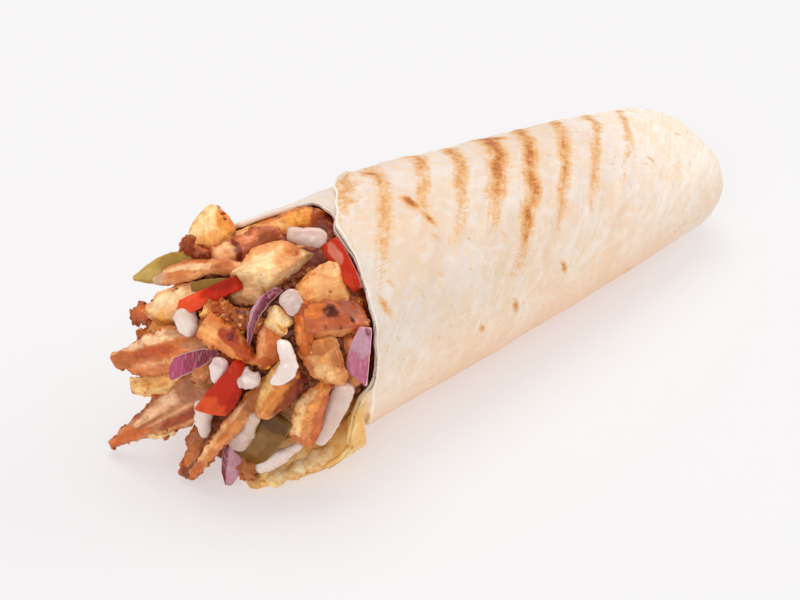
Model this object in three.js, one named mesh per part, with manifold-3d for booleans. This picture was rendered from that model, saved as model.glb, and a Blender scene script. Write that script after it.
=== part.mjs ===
// A chicken doner kebab wrap. One thin flatbread is rolled round shaved chicken and folded shut
// at one end. The open mouth faces -X, and chicken, tomato, red onion, pickle and garlic sauce
// spill out of it. Millimetres, +Z up. Everything is laid out about the centre of the mouth's
// rim plane, with x = 0 on the rim and z = 0 on the table, and is centred at the very end.
import * as THREE from "three";
import { mergeVertices } from "three/addons/utils/BufferGeometryUtils.js";
import Module from "manifold-3d";

const wasm = await Module();
wasm.setup();

// The roll: half sizes of its oval section at the rim, halfway and at the folded end
const ROLL_LENGTH = 178.5;
const HALF_WIDTH = { rim: 34.2, middle: 32.5, end: 24.2 };
const HALF_HEIGHT = { rim: 34.6, middle: 29.3, end: 20.4 };
const END_ROUND = 19; // length of the rounded, folded end
const END_FOLD = 0.35; // share of the width left as a straight fold line at the very end
const REST_SINK = 0.6; // height lost where the roll's weight flattens its underside

const SHOULDER = 1.5; // swelling of the roll's top over its fullest part, behind the mouth
const SHOULDER_X = 42;
const SHOULDER_LENGTH = 38;
const SHOULDER_ARC = [0, 50, 70, 130]; // angles at which an arc starts, is full, fades and is gone

// The flatbread sheet
const SHEET = 1.7; // thickness of one layer
const SINGLE_ARC = [108, 130, 176, 196]; // where only one layer shows, stretched thinner
const SINGLE_SHEET = 1.1;
const SINGLE_STEP = 0.25; // step left between the two layers there
const EDGE_LEAD = 0.4; // least lead of the inner layer's edge over the outer layer's
const RIDGE_X = 36.5; // the toasted fold that crosses the top of the roll
const RIDGE_BEHIND = 5; // least distance of the fold behind the outer layer's edge
const RIDGE_ARC = [48, 62, 122, 140];
const RIDGE_LIFT = 0.9;
const RIDGE_DROP = 1.2; // length over which the fold falls back to the sheet
const SEAM = 338; // angle at which the outer turn passes below itself
const SEAM_START = 290; // angle from which it sinks towards that

// The torn lip under the mouth
const LIP_ARC = [190, 222, 285, 330];
const LIP_FLOOR = 0.25; // height of its underside above the table
const LIP_FLARE = 4.5; // how far it spreads outwards as it sags on to the table
const FLARE_ARC = [228, 262]; // angles over which that spread dies away
const LIP_SAG = [0.5, 5]; // distances in front of the outer edge over which it sags
const RAGGED = 1.3; // depth of its teeth
const TEETH = [27, 16]; // numbers of teeth in a full turn, of the two waves that make them up

// Edges of the filling's pieces wander by this share of their width
const CUT_WANDER = 0.03;
const TORN_WANDER = 0.16;

// Clearance between neighbouring pieces, and the filling's core
const GAP = 0.3;
const CORE_REACH = 32; // how far the heap's core bulges out of the mouth
const CORE_MOUTH = 2; // where the core starts to draw in
const CORE_FULLNESS = 0.62; // power of the dome's profile: 1 is an ellipse, less is blunter
const CORE_END = 8; // bare length left inside the folded end

// Facets
const ROUND_STEPS = 60;
const CORE_STEPS = 24;
const STRIP_STEPS = 5;
const TOPPING_SIDES = 8;
const SHAVING_SIDES = 6;

const rad = THREE.MathUtils.degToRad;
const { smoothstep, lerp, clamp } = THREE.MathUtils;

// ---------------------------------------------------------------------------------------------
// Shared geometry helpers
// ---------------------------------------------------------------------------------------------

// Rises from 0 at start to 1 at full, and falls from fade to 0 again at gone.
const arc = (value, [start, full, fade, gone]) =>
  smoothstep(value, start, full) * (1 - smoothstep(value, fade, gone));

// A value read along [angle, value] stops that go round the roll, eased between neighbours.
function around(stops, degrees) {
  const first = stops[0][0];
  const angle = ((((degrees - first) % 360) + 360) % 360) + first;
  const ring = [...stops, [first + 360, stops[0][1]]];
  const next = ring.findIndex(([stop]) => stop > angle);
  const [a0, v0] = ring[next - 1];
  const [a1, v1] = ring[next];
  return lerp(v0, v1, smoothstep(angle, a0, a1) * 0.5 + ((angle - a0) / (a1 - a0)) * 0.5);
}

// Closed rings of points, joined in order and shut by a pole at each end.
function loft(rings, startPole, endPole) {
  const count = rings[0].length;
  const points = [startPole, ...rings.flat(), endPole];
  const last = points.length - 1;
  const faces = [];
  const at = (ring, i) => 1 + ring * count + (i % count);
  for (let i = 0; i < count; i++) {
    faces.push(0, at(0, i + 1), at(0, i));
    faces.push(last, at(rings.length - 1, i), at(rings.length - 1, i + 1));
  }
  for (let ring = 0; ring < rings.length - 1; ring++) {
    for (let i = 0; i < count; i++) {
      const [a, b] = [at(ring, i), at(ring, i + 1)];
      const [c, d] = [at(ring + 1, i + 1), at(ring + 1, i)];
      faces.push(a, b, c, a, c, d);
    }
  }
  return new THREE.BufferGeometry().setFromPoints(points).setIndex(faces);
}

// A closed geometry as a manifold-3d solid with its faces pointing out.
function solid(geometry) {
  const bare = new THREE.BufferGeometry();
  bare.setAttribute("position", geometry.getAttribute("position"));
  bare.setIndex(geometry.index);
  const merged = mergeVertices(bare, 1e-3);
  const build = (triVerts) =>
    new wasm.Manifold(
      new wasm.Mesh({ numProp: 3, vertProperties: merged.attributes.position.array, triVerts }),
    );
  const made = build(new Uint32Array(merged.index.array));
  return made.volume() > 0 ? made : build(new Uint32Array(merged.index.array).reverse());
}

// The largest of the bodies that a cut leaves.
function largest(cut) {
  return cut.decompose().reduce((best, body) => (body.volume() > best.volume() ? body : best));
}

// A named mesh from a manifold-3d solid.
function meshOf(name, body, look) {
  const made = body.getMesh();
  const geometry = new THREE.BufferGeometry();
  const vertices = new Float32Array(made.numVert * 3);
  for (let i = 0; i < made.numVert; i++) {
    vertices.set(made.vertProperties.subarray(i * made.numProp, i * made.numProp + 3), i * 3);
  }
  geometry.setAttribute("position", new THREE.BufferAttribute(vertices, 3));
  geometry.setIndex(new THREE.BufferAttribute(new Uint32Array(made.triVerts), 1));
  geometry.computeVertexNormals();
  const mesh = new THREE.Mesh(geometry, new THREE.MeshStandardMaterial(look));
  mesh.name = name;
  return mesh;
}

// ---------------------------------------------------------------------------------------------
// The roll's form: 0 degrees is its far side (+Y), 90 the top, 180 the near side, 270 underneath
// ---------------------------------------------------------------------------------------------

const between = ({ rim, middle, end }, t) =>
  rim * (1 - t) ** 2 + 2 * middle * t * (1 - t) + end * t * t;

// How far the top of the roll swells at x.
const shoulder = (x, degrees) =>
  SHOULDER * Math.exp(-(((x - SHOULDER_X) / SHOULDER_LENGTH) ** 2)) * arc(degrees, SHOULDER_ARC);

// A point of the oval section at x, so many degrees round it and so deep below its outer face.
// The section is cut off flat at the floor.
function rollPoint(x, degrees, depth, floor = depth) {
  const t = clamp(x / ROLL_LENGTH, 0, 1);
  const into = clamp((x - (ROLL_LENGTH - END_ROUND)) / (END_ROUND - depth), 0, 1);
  const close = Math.sqrt(1 - into * into);
  const swell = shoulder(x, degrees) - depth;
  const halfWidth = (between(HALF_WIDTH, t) + swell) * (END_FOLD + (1 - END_FOLD) * close);
  const halfHeight = (between(HALF_HEIGHT, t) + swell) * close;
  const middle = between(HALF_HEIGHT, t) - REST_SINK;
  const z = Math.max(middle + halfHeight * Math.sin(rad(degrees)), floor);
  return new THREE.Vector3(x, halfWidth * Math.cos(rad(degrees)), z);
}

// The x of a ring that is so far, as an angle, into the rounded end.
const endX = (degrees, depth) =>
  ROLL_LENGTH - END_ROUND + (END_ROUND - depth) * Math.sin(rad(degrees));

// ---------------------------------------------------------------------------------------------
// Flatbread: the sheet's outer turn ends in a free edge that runs from the mouth over the top and
// down the far side to the folded end. The turn below it stands forward of that edge as a tongue
// on the far side and as a torn, oil-soaked lip underneath.
// ---------------------------------------------------------------------------------------------

// Where the outer turn's edge lies, by angle. It jumps at SEAM, where the turn passes below itself.
const OUTER_EDGE = [
  [-22, 152], [-12, 130], [0, 106], [15, 84], [30, 64], [45, 47], [58, 34.6], [78, 24],
  [92, 16.6], [105, 10], [120, 8], [135, 5.4], [150, 3.4], [173, 0.5], [187, -1],
  [202, 0], [215, 3], [228, 7.5], [242, 10], [333, 13],
];
// Where the inner turn's edge lies, by angle.
const INNER_EDGE = [
  [0, -4], [60, -3], [74, 17], [90, 15], [108, 11], [130, 10], [180, 2], [192, -4.5],
  [205, -8], [218, -9], [228, -11], [237, -16], [246, -25], [257, -24], [272, -19],
  [292, -12], [315, -6],
];

// Depths of the inner turn's outer face and of its inner face, below the roll's own face.
const layerStep = (deg) => lerp(SHEET, SINGLE_STEP, arc(deg, SINGLE_ARC));
const innerDepth = (deg) => layerStep(deg) + lerp(SHEET, SINGLE_SHEET, arc(deg, SINGLE_ARC));

function breadRings(grow) {
  const angles = Array.from({ length: ROUND_STEPS }, (_, i) => (360 * i) / ROUND_STEPS);
  const outer = (deg) => around(OUTER_EDGE, deg);
  const torn = (deg) => arc(deg, LIP_ARC);
  const wave = (deg) => Math.sin(rad(deg * TEETH[0])) + Math.sin(rad(deg * TEETH[1]));
  const teeth = (deg) => torn(deg) * RAGGED * wave(deg);
  const inner = (deg) => Math.min(around(INNER_EDGE, deg) + teeth(deg), outer(deg) - EDGE_LEAD);
  const ridge = (deg) => Math.max(RIDGE_X, outer(deg) + RIDGE_BEHIND);
  const lift = (deg) => RIDGE_LIFT * arc(deg, RIDGE_ARC);
  const sink = (deg) => layerStep(deg) * smoothstep(deg, SEAM_START, SEAM);
  const face = (x, deg, depth) => {
    const loose = torn(deg) * smoothstep(outer(deg) - x, ...LIP_SAG);
    const spread = loose * (layerStep(deg) + LIP_FLARE * (1 - smoothstep(deg, ...FLARE_ARC)));
    const laid = depth - layerStep(deg) + LIP_FLOOR;
    return rollPoint(x, deg, depth - spread, lerp(depth, laid, loose));
  };
  const ring = (x, depth) => angles.map((deg) => face(x(deg), deg, depth(deg)));
  const share = (from, to, part) => (deg) => lerp(from(deg), to(deg), part);
  const afterRidge = (deg) => ridge(deg) + RIDGE_DROP;
  const bodyEnd = () => ROLL_LENGTH - END_ROUND;

  const inside = (deg) => innerDepth(deg) + grow;
  const step = (deg) => layerStep(deg) - grow;
  const skin = (deg) => sink(deg) - grow;
  const outerFront = (deg) => outer(deg) - grow;
  const innerFront = (deg) => inner(deg) - grow;
  const rings = [];
  for (const turn of [70, 45, 20]) rings.push(ring((d) => endX(turn, inside(d)), inside));
  for (const part of [1, 0.67, 0.33, 0.1, 0]) {
    rings.push(ring(share(innerFront, bodyEnd, part), inside));
  }
  for (const part of [0, 0.33, 0.67, 1]) rings.push(ring(share(innerFront, outerFront, part), step));
  rings.push(ring(outerFront, skin));
  rings.push(ring(share(outerFront, ridge, 0.5), (d) => skin(d) - lift(d) / 4));
  rings.push(ring(ridge, (d) => skin(d) - lift(d)));
  for (const part of [0, 0.25, 0.5, 0.75, 1]) {
    rings.push(ring(share(afterRidge, bodyEnd, part), skin));
  }
  for (const turn of [20, 40, 58, 74]) rings.push(ring((d) => endX(turn, skin(d)), skin));
  const tip = (depth) => rollPoint(endX(90, depth), 90, depth);
  return loft(rings, tip(innerDepth(90) + grow), tip(-grow));
}

const bread = solid(breadRings(0));
const breadRoom = solid(breadRings(GAP));

// ---------------------------------------------------------------------------------------------
// Strips: every piece of the filling is a short bent slab, from its root in the heap to its tip
// ---------------------------------------------------------------------------------------------

const STRIP_SQUARENESS = 0.7; // power of the section: 1 is an ellipse, less is squarer
const STRIP_NOSE = 0.12; // length of the rounded nose at each end, as a share of the strip

// The ways the broad faces look: out of the mouth towards its near side, or towards its far side
const OUT = [-0.6, -0.6, 0.53];
const FAR = [-0.45, 0.85, 0.15];
const UP = [-0.3, 0, 0.95];

// root, tip: ends of the centre line. width, thick: section at the middle. taper: share of the
// width at [root, tip]. bend: rise of the centre line's middle towards the face. ragged: share by
// which the edges wander.
function strip(piece, grow = 0) {
  const { root, tip, width, thick, face = OUT, bend = 0, taper = [0.85, 0.6], ragged } = piece;
  const { seed, sides = TOPPING_SIDES } = piece;
  const start = new THREE.Vector3(...root);
  const end = new THREE.Vector3(...tip);
  const along = end.clone().sub(start).normalize();
  const side = new THREE.Vector3().crossVectors(along, new THREE.Vector3(...face)).normalize();
  const up = new THREE.Vector3().crossVectors(side, along);
  const middle = start.clone().add(end).multiplyScalar(0.5).addScaledVector(up, 2 * bend);
  const line = new THREE.QuadraticBezierCurve3(start, middle, end);
  THREE.MathUtils.seededRandom(seed);
  const square = (value) => Math.sign(value) * Math.abs(value) ** STRIP_SQUARENESS;
  const fullness = 1 - (taper[0] + taper[1]) / 2;
  const rings = [];
  for (let i = 0; i <= STRIP_STEPS; i++) {
    const s = i / STRIP_STEPS;
    const swell = Math.sqrt(Math.sin(Math.PI * lerp(STRIP_NOSE, 1 - STRIP_NOSE, s)));
    const share = lerp(taper[0], taper[1], s) + (1 - Math.abs(2 * s - 1)) * fullness;
    const centre = line.getPoint(s);
    const ring = [];
    for (let k = 0; k < sides; k++) {
      const turn = (2 * Math.PI * (k + 0.5)) / sides;
      const wander = 1 + ragged * (2 * THREE.MathUtils.seededRandom() - 1);
      const across = square(Math.cos(turn)) * ((width / 2) * share * wander + grow);
      const out = square(Math.sin(turn)) * ((thick / 2) * swell + grow);
      ring.push(centre.clone().addScaledVector(side, across).addScaledVector(up, out));
    }
    rings.push(ring);
  }
  const nose = STRIP_NOSE * start.distanceTo(end) + grow;
  const startPole = start.clone().addScaledVector(along, -nose);
  const endPole = end.clone().addScaledVector(along, nose);
  return solid(loft(rings, startPole, endPole));
}

// ---------------------------------------------------------------------------------------------
// Toppings: strips of tomato, red onion and pickle, and dollops of garlic sauce
// ---------------------------------------------------------------------------------------------

const TOMATO = [
  { root: [-22, -4, 60], tip: [-30, 8.5, 50.5], width: 4.2, thick: 4, taper: [0.9, 1], seed: 11 },
  { root: [-31, -14, 43.5], tip: [-35, -8.5, 29], width: 9, thick: 4, taper: [0.3, 1], seed: 12 },
  { root: [3, -14, 65], tip: [1, -26.5, 57], width: 5.4, thick: 4, taper: [0.9, 0.6], seed: 13 },
];
const RED_ONION = [
  { root: [-32, -6, 42.5], tip: [-36, 7, 33], width: 5.6, thick: 2.4, taper: [0.8, 1], seed: 21 },
  { root: [-18, -15, 61], tip: [-28, -15, 50], width: 2, thick: 2.6, bend: 0.8, seed: 22 },
  { root: [-3, -31, 49], tip: [-8, -34, 36.5], width: 5.6, thick: 2.4, taper: [0.6, 0.9], seed: 23 },
  { root: [-27, -6, 10], tip: [-31, -8, 2], width: 4.6, thick: 2.4, taper: [0.7, 0.5], seed: 24 },
];
const PICKLE = [
  { root: [-17, 18, 55], tip: [-28, 30.5, 49.5], width: 7.5, thick: 1.8, taper: [0.9, 0.6], seed: 31 },
  { root: [-25, -21, 27], tip: [-26, -9.5, 8.5], width: 10, thick: 2, taper: [0.8, 0.7], seed: 32 },
  { root: [-22, -2, 59], tip: [-26, 8, 55.5], width: 3.5, thick: 1.8, seed: 33 },
];
const GARLIC_SAUCE = [
  { root: [-5, -5, 68], tip: [2, -12, 66.5], width: 5, thick: 4, taper: [0.9, 0.9], seed: 41 },
  { root: [-31, 7.5, 50], tip: [-33, 3, 46.5], width: 6, thick: 4.5, taper: [0.9, 0.9], seed: 42 },
  { root: [-33, -10.5, 44], tip: [-34, -8.5, 38], width: 4.4, thick: 3, taper: [0.9, 0.9], seed: 43 },
  { root: [-31, -15, 42], tip: [-30, -19, 39], width: 6, thick: 4, taper: [0.9, 0.9], seed: 44 },
  { root: [-34, -3, 27], tip: [-33, -0.5, 16], width: 4.6, thick: 4, taper: [0.9, 0.9], seed: 45 },
  { root: [-30, -18, 28], tip: [-27, -7, 11.5], width: 5, thick: 3.5, taper: [0.9, 0.7], seed: 46 },
  { root: [-20, -23, 15], tip: [-25, -13, 6], width: 3.6, thick: 3, taper: [0.9, 0.8], seed: 47 },
  { root: [-11, -32, 34.5], tip: [-16, -27, 19], width: 6, thick: 3.5, taper: [0.9, 0.9], seed: 48 },
  { root: [-22, -23.5, 50], tip: [-26, -24.5, 41], width: 5.2, thick: 4, taper: [0.9, 0.9], seed: 49 },
  { root: [-16, -18, 59.5], tip: [-13, -21, 57.5], width: 3.6, thick: 3, taper: [0.9, 0.9], seed: 50 },
];

// ---------------------------------------------------------------------------------------------
// Chicken: one heap. Its core fills the roll and domes out of the mouth, and the shavings that
// show are fused on to it at their true size.
// ---------------------------------------------------------------------------------------------

const SHAVINGS = [
  // Top of the mouth, from the far side to the near side
  { root: [-17, 11, 55], tip: [-9, 21, 67], width: 12.5, thick: 8, taper: [0.8, 0.55] },
  { root: [-4, 0, 65], tip: [-18, 7, 62], width: 7, thick: 5 },
  { root: [-5, -13, 64.5], tip: [-21, -4, 60.5], width: 13, thick: 8, taper: [0.7, 0.8] },
  { root: [13, 0, 61.5], tip: [-9, 7, 65], width: 7, thick: 5 },
  { root: [9, 10, 60], tip: [-12, 15, 58], width: 9, thick: 5, face: UP },
  { root: [0, 18, 58], tip: [-18, 20, 54], width: 8, thick: 5, face: UP },
  { root: [-14, -17, 59], tip: [-1, -22.5, 59], width: 11, thick: 6, taper: [0.5, 1] },
  { root: [0, -28.5, 51], tip: [-16, -22.5, 53], width: 13, thick: 5, taper: [0.9, 0.8] },
  // Near side, downwards
  { root: [-13, -27, 48], tip: [-14, -30.5, 37], width: 10, thick: 5 },
  { root: [-5, -29.5, 46], tip: [-8, -31, 35], width: 7.5, thick: 4 },
  { root: [-16, -29, 38], tip: [-20, -25.5, 21], width: 7.5, thick: 5.5, taper: [0.8, 0.8] },
  { root: [-19, -25, 45], tip: [-28, -20, 31], width: 9, thick: 7 },
  // Middle of the mouth
  { root: [-27, -17, 44], tip: [-32.5, -2, 51], width: 9, thick: 4, taper: [0.4, 1] },
  { root: [-21, -17, 54], tip: [-27, -20, 43], width: 6.5, thick: 5 },
  { root: [-25, -14, 56], tip: [-27, 0, 55.5], width: 6, thick: 4.5 },
  { root: [-25, -14, 53], tip: [-29.5, 1, 51.5], width: 4.5, thick: 4.5 },
  { root: [-18, -18, 56], tip: [-22.5, -18.5, 51.5], width: 7, thick: 6 },
  { root: [-28, 0, 31], tip: [-32, -4, 39], width: 8, thick: 5 },
  { root: [-24, -10, 44], tip: [-31, -8, 36], width: 12, thick: 6 },
  // Far side, downwards to the two long blades
  { root: [-19, 0, 61], tip: [-25, 24, 51], width: 5, thick: 4, bend: 2 },
  { root: [-25, 10, 52], tip: [-33.5, 21, 40.5], width: 9, thick: 6 },
  { root: [-26, 17, 46], tip: [-33.5, 27, 40.5], width: 6, thick: 5 },
  { root: [-26, 15, 40], tip: [-35.5, 23.5, 37], width: 6, thick: 5 },
  { root: [-27, -3, 45], tip: [-41.5, 23.5, 33], width: 12, thick: 4.5, taper: [0.8, 0.3] },
  { root: [-27, 5, 31], tip: [-39.5, 19, 25], width: 7, thick: 3.5 },
  { root: [-28, -3, 31], tip: [-43, 26, 5], width: 12, thick: 4.5, taper: [0.9, 0.2] },
  { root: [-25, 4, 19], tip: [-40, 16, 9], width: 7, thick: 4 },
  // Underside of the mouth
  { root: [-22, 5, 20], tip: [-37.5, 3, 4], width: 6, thick: 4.5 },
  { root: [-26, -18, 36], tip: [-37, -2, 7], width: 4, thick: 3.5, bend: 2 },
  { root: [-22, -1, 22], tip: [-28, -3, 8], width: 9, thick: 5 },
  { root: [-19, -7, 12], tip: [-28, -11, 4.5], width: 6, thick: 4 },
  // Far side of the mouth, behind the rows above
  { root: [-2, 20, 55], tip: [-16, 23, 53], width: 11, thick: 5, face: FAR },
  { root: [-5, 26, 45], tip: [-22, 28, 42], width: 13, thick: 5, face: FAR },
  { root: [-17, 21, 36], tip: [-31, 27, 32], width: 11, thick: 5, face: FAR, taper: [0.9, 0.5] },
  { root: [-3, 27, 33], tip: [-20, 30, 29], width: 13, thick: 5, face: FAR },
  { root: [-15, 22, 24], tip: [-30, 26, 18], width: 12, thick: 5, face: FAR },
  { root: [-4, 25, 20], tip: [-20, 26, 15], width: 13, thick: 5, face: FAR },
  { root: [-14, 16, 13], tip: [-32, 19, 8], width: 10, thick: 4.5, face: FAR, taper: [0.9, 0.5] },
];

// The core: it keeps GAP inside the bread, and domes in from CORE_MOUTH to a pole in front.
function coreGeometry() {
  const angles = Array.from({ length: CORE_STEPS }, (_, i) => (360 * i) / CORE_STEPS);
  const clear = (deg) => innerDepth(deg) + GAP;
  const rings = [];
  for (const turn of [76, 58, 40, 24, 10]) {
    const shrink = Math.cos(rad(turn)) ** CORE_FULLNESS;
    const x = CORE_MOUTH - (CORE_MOUTH + CORE_REACH) * Math.sin(rad(turn));
    rings.push(
      angles.map((deg) => {
        const point = rollPoint(x, deg, clear(deg) + 1);
        const middle = HALF_HEIGHT.rim - REST_SINK;
        return new THREE.Vector3(x, point.y * shrink, middle + (point.z - middle) * shrink);
      }),
    );
  }
  for (const part of [0, 0.25, 0.5, 0.75, 1]) {
    const x = lerp(CORE_MOUTH, ROLL_LENGTH - END_ROUND - CORE_END, part);
    rings.push(angles.map((deg) => rollPoint(x, deg, clear(deg))));
  }
  const back = rollPoint(ROLL_LENGTH - END_ROUND, 90, 0);
  back.z = between(HALF_HEIGHT, 0.9) - REST_SINK;
  return loft(rings, new THREE.Vector3(-CORE_REACH, 0, HALF_HEIGHT.rim - REST_SINK), back);
}

// ---------------------------------------------------------------------------------------------
// Assembly: the toppings are cut clear of the bread and of each other, and the heap of them all
// ---------------------------------------------------------------------------------------------

const LOOKS = {
  flatbread: { color: 0xf0e2cc, roughness: 0.8, metalness: 0 },
  chicken: { color: 0xcf9350, roughness: 0.55, metalness: 0 },
  tomato: { color: 0xd23c1e, roughness: 0.3, metalness: 0 },
  red_onion: { color: 0x9a4f86, roughness: 0.35, metalness: 0 },
  pickle: { color: 0x8d8a3c, roughness: 0.4, metalness: 0 },
  garlic_sauce: { color: 0xf4f0ea, roughness: 0.3, metalness: 0 },
};

const wrap = new THREE.Group();
wrap.add(meshOf("flatbread", bread, LOOKS.flatbread));

let taken = breadRoom;
const families = { tomato: TOMATO, red_onion: RED_ONION, pickle: PICKLE, garlic_sauce: GARLIC_SAUCE };
for (const [family, pieces] of Object.entries(families)) {
  pieces.forEach((piece, i) => {
    const smooth = { ...piece, ragged: CUT_WANDER };
    const body = largest(strip(smooth).subtract(taken));
    wrap.add(meshOf(`${family}_${i + 1}`, body, LOOKS[family]));
    taken = taken.add(strip(smooth, GAP));
  });
}

let heap = solid(coreGeometry());
SHAVINGS.forEach((piece, i) => {
  const torn = { ...piece, sides: SHAVING_SIDES, ragged: TORN_WANDER, seed: i + 1 };
  heap = heap.add(strip(torn));
});
wrap.add(meshOf("chicken_filling", largest(heap.subtract(taken)), LOOKS.chicken));

// Centre the footprint on the origin, with the resting face at z = 0
const box = new THREE.Box3().setFromObject(wrap);
const centre = box.getCenter(new THREE.Vector3());
wrap.position.set(-centre.x, -centre.y, 0);

export default wrap;
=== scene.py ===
"""A chicken doner wrap: flatbread rolled round shaved chicken, with tomato, red onion, pickle and
garlic sauce at its open mouth. Sizes are in millimetres about the centre of the mouth's rim, with
X towards the folded end and Z up from the table, and become metres when a mesh is made."""
import itertools
import math

import bpy
import numpy as np
from mathutils import Matrix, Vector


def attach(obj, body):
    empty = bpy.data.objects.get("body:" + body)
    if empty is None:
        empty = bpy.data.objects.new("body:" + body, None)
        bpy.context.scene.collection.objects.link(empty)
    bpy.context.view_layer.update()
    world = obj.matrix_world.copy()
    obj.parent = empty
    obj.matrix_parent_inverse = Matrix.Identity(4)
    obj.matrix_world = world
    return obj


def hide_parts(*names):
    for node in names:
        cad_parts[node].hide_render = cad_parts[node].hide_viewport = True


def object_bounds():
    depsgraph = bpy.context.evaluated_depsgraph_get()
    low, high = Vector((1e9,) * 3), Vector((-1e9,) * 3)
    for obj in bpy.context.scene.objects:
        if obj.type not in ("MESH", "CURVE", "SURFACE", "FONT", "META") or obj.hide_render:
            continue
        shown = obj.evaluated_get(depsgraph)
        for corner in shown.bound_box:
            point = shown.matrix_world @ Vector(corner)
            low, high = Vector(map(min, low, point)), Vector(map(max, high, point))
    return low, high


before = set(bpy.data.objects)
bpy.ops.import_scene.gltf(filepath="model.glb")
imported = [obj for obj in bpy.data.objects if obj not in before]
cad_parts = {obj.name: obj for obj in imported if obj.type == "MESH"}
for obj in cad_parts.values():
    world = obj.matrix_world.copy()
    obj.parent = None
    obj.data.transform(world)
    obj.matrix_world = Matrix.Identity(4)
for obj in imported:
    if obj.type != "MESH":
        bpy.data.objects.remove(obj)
cad_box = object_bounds()

# ------------------------------------------------------------------------------------------------
# The flatbread's form: one thin sheet of dough, rolled round the filling and folded shut at the
# far end. Its outer turn ends in a free edge behind the mouth. The turn below stands forward of
# that edge, as a tongue on the far side and as a torn lip, soaked with juice, on the table.
# ------------------------------------------------------------------------------------------------
MOUTH = np.array((-66.85, 1.743, 0.0))  # place of the mouth's rim centre in the part
KEPT_IN = 0.00004  # how far every mesh stays inside the part's box, in metres
ROLL_LENGTH = 178.5  # from the rim to the folded end
HALF_WIDTH = (34.2, 32.5, 24.2)  # at the rim, what its curve leans to halfway, at the folded end
HALF_HEIGHT = (34.6, 29.3, 20.4)  # in the same places
END_ROUND = 19.0  # length over which the folded end rounds off
END_FOLD = 0.35  # share of the width that is left where the end is pressed together
REST_SINK = 0.6  # how much the roll is flattened where it rests
# An angle round the roll is 0 on the far side, 90 on top, 180 on the near side and 270 below. Four
# angles are the places where something starts, is full, begins to fade and has gone.
SHOULDER = 1.5  # how far the top swells over the filling,
SHOULDER_X = 42.0  # most of all at this place,
SHOULDER_LENGTH = 38.0  # and so far before and behind it,
SHOULDER_ARC = (0, 50, 70, 130)  # between these angles
SLUMP = 1.5  # how far the top sags towards the folded end,
SLUMP_X = (118, 168)  # from one of these places to the other,
SLUMP_ARC = (30, 75, 125, 170)  # between these angles
SHEET = 1.7  # thickness of the dough
SINGLE_ARC = (108, 130, 176, 196)  # on the near side the two turns lie tight, and look like one:
SINGLE_SHEET = 1.1  # so thick,
SINGLE_STEP = 0.25  # with so low a step from one to the other
EDGE_LEAD = 0.4  # least distance from the outer turn's edge forward to the inner turn's
RIDGE_X = 36.5  # a fold runs over the top behind the outer edge: at this place,
RIDGE_BEHIND = 5.0  # at least so far behind the edge,
RIDGE_ARC = (48, 62, 122, 140)  # between these angles,
RIDGE_LIFT = 1.0  # so high,
RIDGE_RISE = 4.0  # with this length for the climb to it
RIDGE_DROP = 2.2  # and this one for the fall behind it
SEAM = 338.0  # angle at which the outer turn's side edge runs along the far side,
SEAM_START = 290.0  # and where that turn starts to sink into the one below
SEAM_WANDER = 6.0  # how far that edge strays from a straight line, in degrees,
SEAM_STRETCH = 16.0  # and to how far on both sides the surface is carried with it
LIP_ARC = (190, 222, 285, 330)  # the torn lip's angles
LIP_FLOOR = 0.25  # how high it lies over the table
LIP_FLARE = 4.5  # how far it spreads out from the roll,
FLARE_ARC = (228, 262)  # fading from one of these angles to the other
LIP_SAG = (0.5, 5)  # it comes loose between these distances in front of the outer edge
RAGGED = 1.3  # how deep the teeth along its torn edge are,
TEETH = (27, 16)  # and how many would go round the whole roll: two runs, one over the other
# Where each turn's edge lies: (angle, x)
OUTER_EDGE = (
    (-22, 152), (-12, 130), (0, 106), (15, 84), (30, 64), (45, 47), (58, 34.6), (78, 24),
    (92, 16.6), (105, 10), (120, 8), (135, 5.4), (150, 3.4), (173, 0.5), (187, -1),
    (202, 0), (215, 3), (228, 7.5), (242, 10), (285, 12), (300, 16), (312, 26), (322, 46),
    (331, 92))
INNER_EDGE = (
    (0, -4), (60, -3), (74, 17), (90, 15), (108, 11), (130, 10), (180, 2), (192, -4.5),
    (205, -8), (218, -9), (228, -11), (237, -16), (246, -25), (257, -24), (272, -19),
    (292, -12), (315, -6))


def eased(value, start, full):
    """Rises smoothly from 0 at start to 1 at full."""
    part = np.clip((value - start) / (full - start), 0, 1)
    return part * part * (3 - 2 * part)


def arc(value, stops):
    """Rises from 0 at the first stop to 1 at the second, and falls from the third to the last."""
    return eased(value, stops[0], stops[1]) * (1 - eased(value, stops[2], stops[3]))


def around(stops, degrees):
    """A value read along (angle, value) stops that go round the roll."""
    angles = np.array([a for a, _ in stops] + [stops[0][0] + 360], float)
    values = np.array([v for _, v in stops] + [stops[0][1]], float)
    angle = (degrees - angles[0]) % 360 + angles[0]
    after = np.clip(np.searchsorted(angles, angle, side="right"), 1, len(angles) - 1)
    part = (angle - angles[after - 1]) / (angles[after] - angles[after - 1])
    part = (part + part * part * (3 - 2 * part)) / 2
    return values[after - 1] * (1 - part) + values[after] * part


def noise(points, size, seed=0.0):
    """A smooth random field between -1 and 1 whose lumps are so many millimetres across. Each
    corner of a grid draws its value by mixing its own whole numbers."""
    where = np.asarray(points, float) / size + 31.7 * (seed + 1)
    cell = np.floor(where).astype(np.int64)
    part = where - cell
    part = part * part * (3 - 2 * part)
    field = np.zeros(where.shape[:-1])
    for corner in itertools.product((0, 1), repeat=3):
        at = cell + np.array(corner)
        drawn = at[..., 0] * 73856093 ^ at[..., 1] * 19349663 ^ at[..., 2] * 83492791
        drawn = (drawn ^ (drawn >> 13)) * 1274126177 & 0x7FFFFFFF
        share = np.prod(np.where(np.array(corner) == 1, part, 1 - part), axis=-1)
        field += (drawn / 0x3FFFFFFF - 1) * share
    return field


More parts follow.
